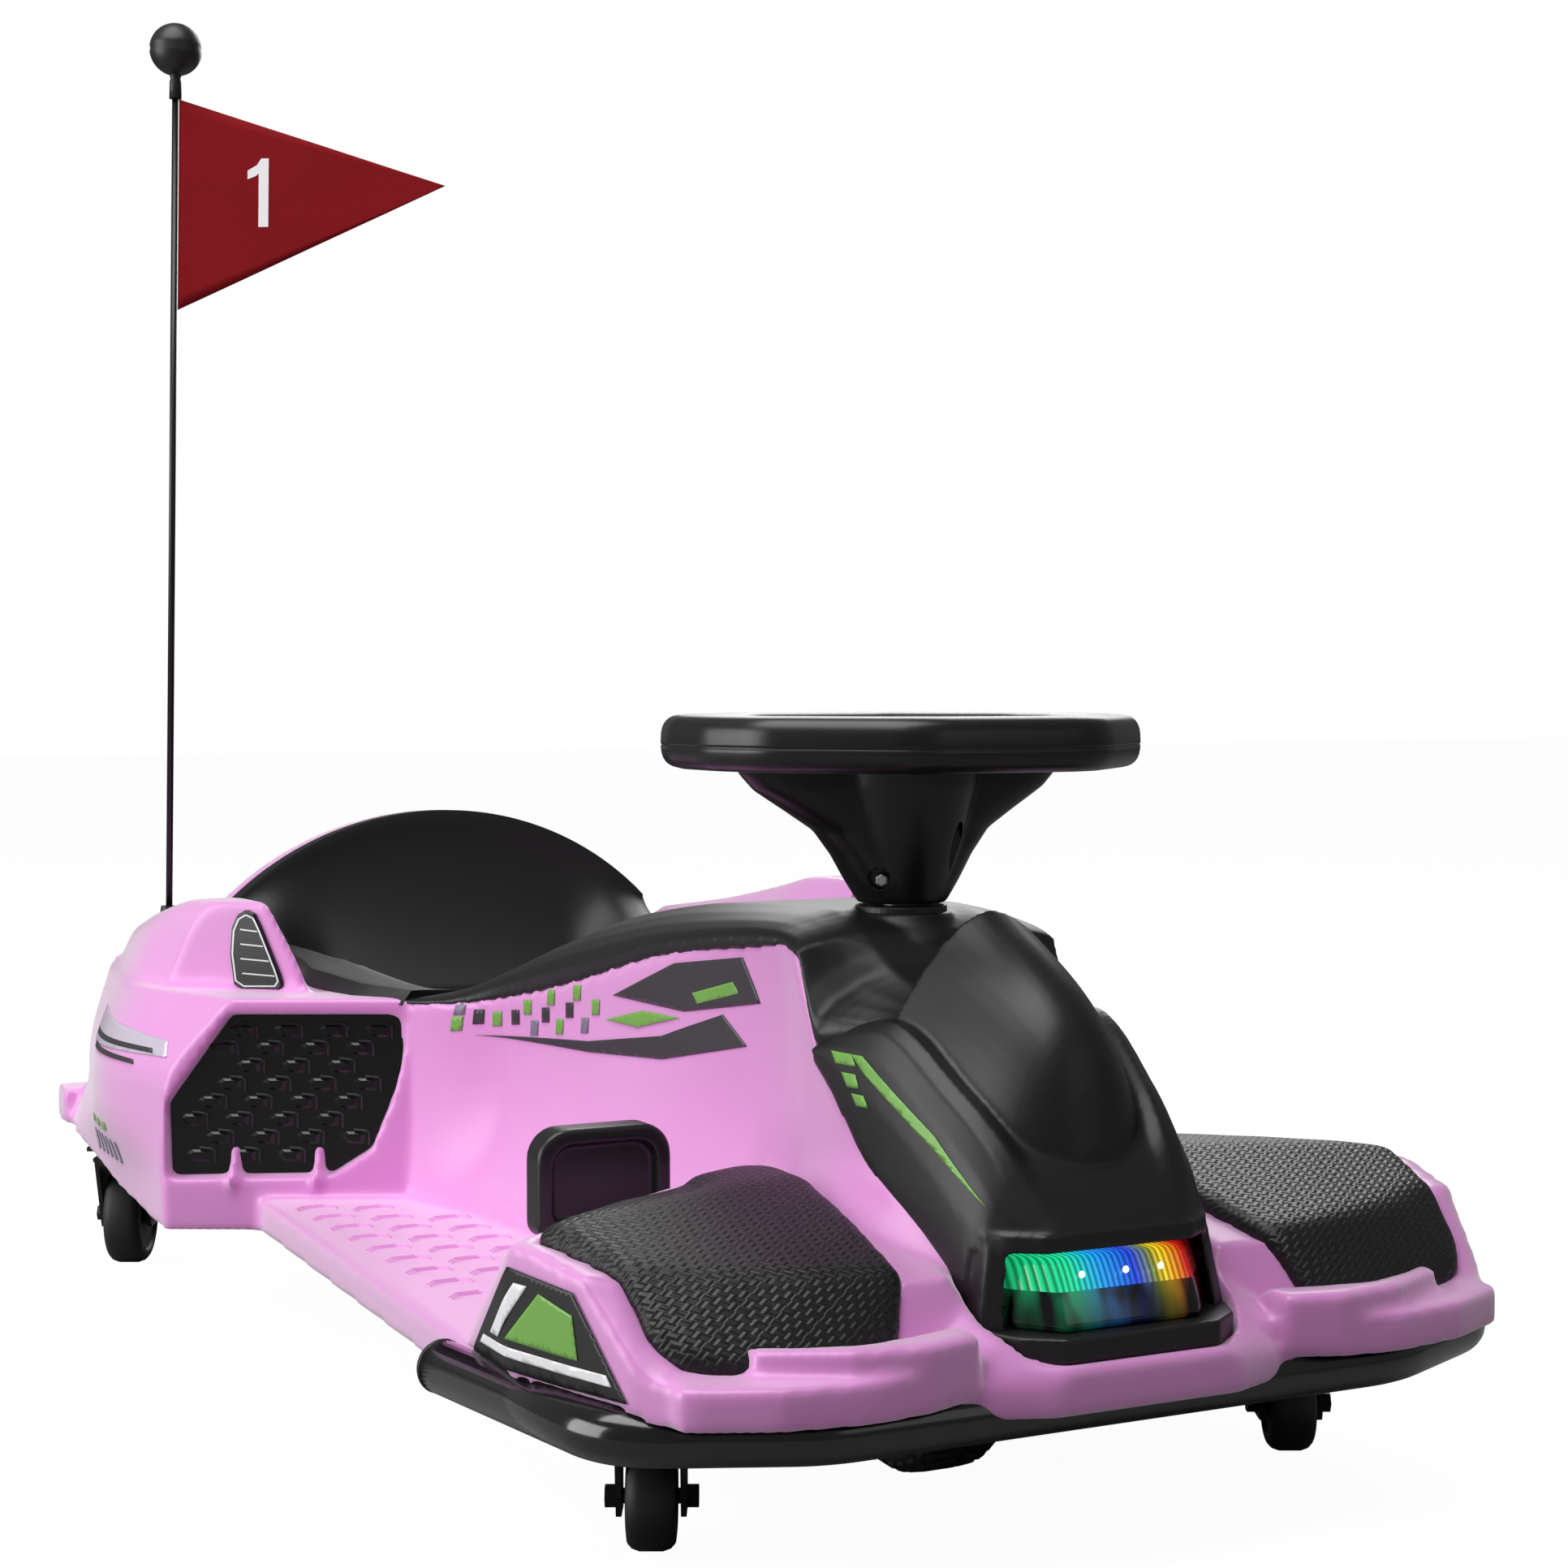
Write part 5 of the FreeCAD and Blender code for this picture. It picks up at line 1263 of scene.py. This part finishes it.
stick("pod_strip", pink_tree, [((352, 211), (210, 200), (202, 190), (350, 187))], vinyl_pearl)
stick("pod_lines", pink_tree, [
    ((344, 196), (222, 194), (220, 191), (343, 192)), ((330, 188), (240, 185), (238, 182), (329, 184)),
], vinyl_dark, 0.6)
stick("pod_blocks", pink_tree, [slanted(y, 128, 14, 6, 4) for y in (352, 330, 308)], vinyl_green)
stick("pod_bars", pink_tree, [slanted(y, 106, 7, 16, 4) for y in (360, 346, 332, 318, 304, 290)], vinyl_grey)

STRIPE = (
    ((-338, 246), (-356, 246), (-362, 240), (-344, 240)),
    ((-356, 246), (-368, 238), (-429, 206), (-468, 182), (-428, 212.5), (-366, 246)),
    ((-350, 236), (-362, 236), (-367, 229), (-356, 229)),
    ((-360, 226), (-371, 226), (-376, 220), (-365, 220)),
)
stick("hood_stripe", hood_tree, STRIPE, vinyl_green)


# Grip ribs on the floor boards: low double chevrons moulded in polyethylene into the top of each board. They
# keep a shoe from sliding.
BOARD_TOP = (93, 101)
RIB_COLUMNS = 4
RIB_ROWS = 9
RIB_PLACE = (158, -176)
RIB_STEP = (33, 36)
CHEVRON = ((-13, -5), (-7, 2), (7, 2), (13, -5))
mesh = bmesh.new()
for side in (-1, 1):
    for column in range(RIB_COLUMNS):
        for row in range(RIB_ROWS):
            x0 = RIB_PLACE[0] + RIB_STEP[0] * column
            y0 = RIB_PLACE[1] + RIB_STEP[1] * (row + column % 2 / 2)
            for shift in (0, 5):
                path = [(x0 + dx, y0 + dy + shift) for dx, dy in CHEVRON]
                rings = []
                for a, b in ribbon(path, 2.4):
                    ring = []
                    for (x, y), lift in ((a, -0.2), (((a[0] + b[0]) / 2, (a[1] + b[1]) / 2), 1.0), (b, -0.2)):
                        hit = pink_tree.ray_cast(Vector((side * x, y, 140)) * MM, Vector((0, 0, -1)))[0]
                        if hit and BOARD_TOP[0] < hit.z / MM < BOARD_TOP[1]:
                            ring.append((side * x, y, hit.z / MM + lift))
                    rings.append(ring)
                if all(len(ring) == 3 for ring in rings):
                    skin(mesh, rings)
ribs = add_piece("floor_board_ribs", mesh, pink_polyethylene, smooth=False)


# Floor and lights: seamless white paper under a broad soft key light from above. A second soft light stands
# on the rider's right, a weak one ahead, and a third behind on the rider's left.

# background paper: for the camera it glows to just under white over a pale matt sheet, so that it keeps a
# faint shadow, and the kart is lit by a dimmer grey one
floor_material, tree = new_material("studio_floor_paper")[:2]
pale = node(tree, "ShaderNodeBsdfDiffuse", {"Color": linear("#F4F4F4")})
dim = node(tree, "ShaderNodeBsdfDiffuse", {"Color": linear("#8C8C8C")})
white = node(tree, "ShaderNodeEmission", {"Color": (1, 1, 1, 1), "Strength": 1.13})
rays = node(tree, "ShaderNodeLightPath")
paper = node(tree, "ShaderNodeMixShader", {0: 0.85, 1: pale.outputs[0], 2: white.outputs[0]})
finish(tree, node(tree, "ShaderNodeMixShader", {
    0: rays.outputs["Is Camera Ray"], 1: dim.outputs[0], 2: paper.outputs[0]}))
bpy.ops.mesh.primitive_plane_add(size=30)
floor = bpy.context.object
floor.name = "studio_floor"
floor.data.materials.append(floor_material)

world = bpy.data.worlds.new("studio")
bpy.context.scene.world = world
world.use_nodes = True
world.node_tree.nodes.clear()
tree = world.node_tree
rays = node(tree, "ShaderNodeLightPath")
lit = node(tree, "ShaderNodeBackground", {"Color": (1, 1, 1, 1), "Strength": 0.16})
white = node(tree, "ShaderNodeBackground", {"Color": (1, 1, 1, 1), "Strength": 1.0})
any_view = node(tree, "ShaderNodeMath", {
    0: rays.outputs["Is Camera Ray"], 1: rays.outputs["Is Transmission Ray"]}, operation="MAXIMUM")
both = node(tree, "ShaderNodeMixShader", {0: any_view.outputs[0], 1: lit.outputs[0], 2: white.outputs[0]})
node(tree, "ShaderNodeOutputWorld", {"Surface": both.outputs[0]})


def soft_light(name, place, aim, size, watts):
    """Square light of a size in metres that faces a point."""
    data = bpy.data.lights.new(name, "AREA")
    data.size = size
    data.energy = watts
    light = bpy.data.objects.new(name, data)
    light.location = place
    light.rotation_euler = (Vector(aim) - Vector(place)).to_track_quat("-Z", "Y").to_euler()
    bpy.context.scene.collection.objects.link(light)


soft_light("key", (-0.8, -0.3, 2.7), (0, 0, 0.2), 2.2, 68)
soft_light("side", (-2.8, 0.4, 0.8), (0, 0.1, 0.2), 2.0, 56)
soft_light("front", (0.9, -2.8, 1.3), (0, -0.3, 0.2), 1.4, 3)
soft_light("rim", (1.6, 2.2, 1.8), (0, 0, 0.3), 1.6, 34)

bpy.context.scene.view_settings.view_transform = "Standard"
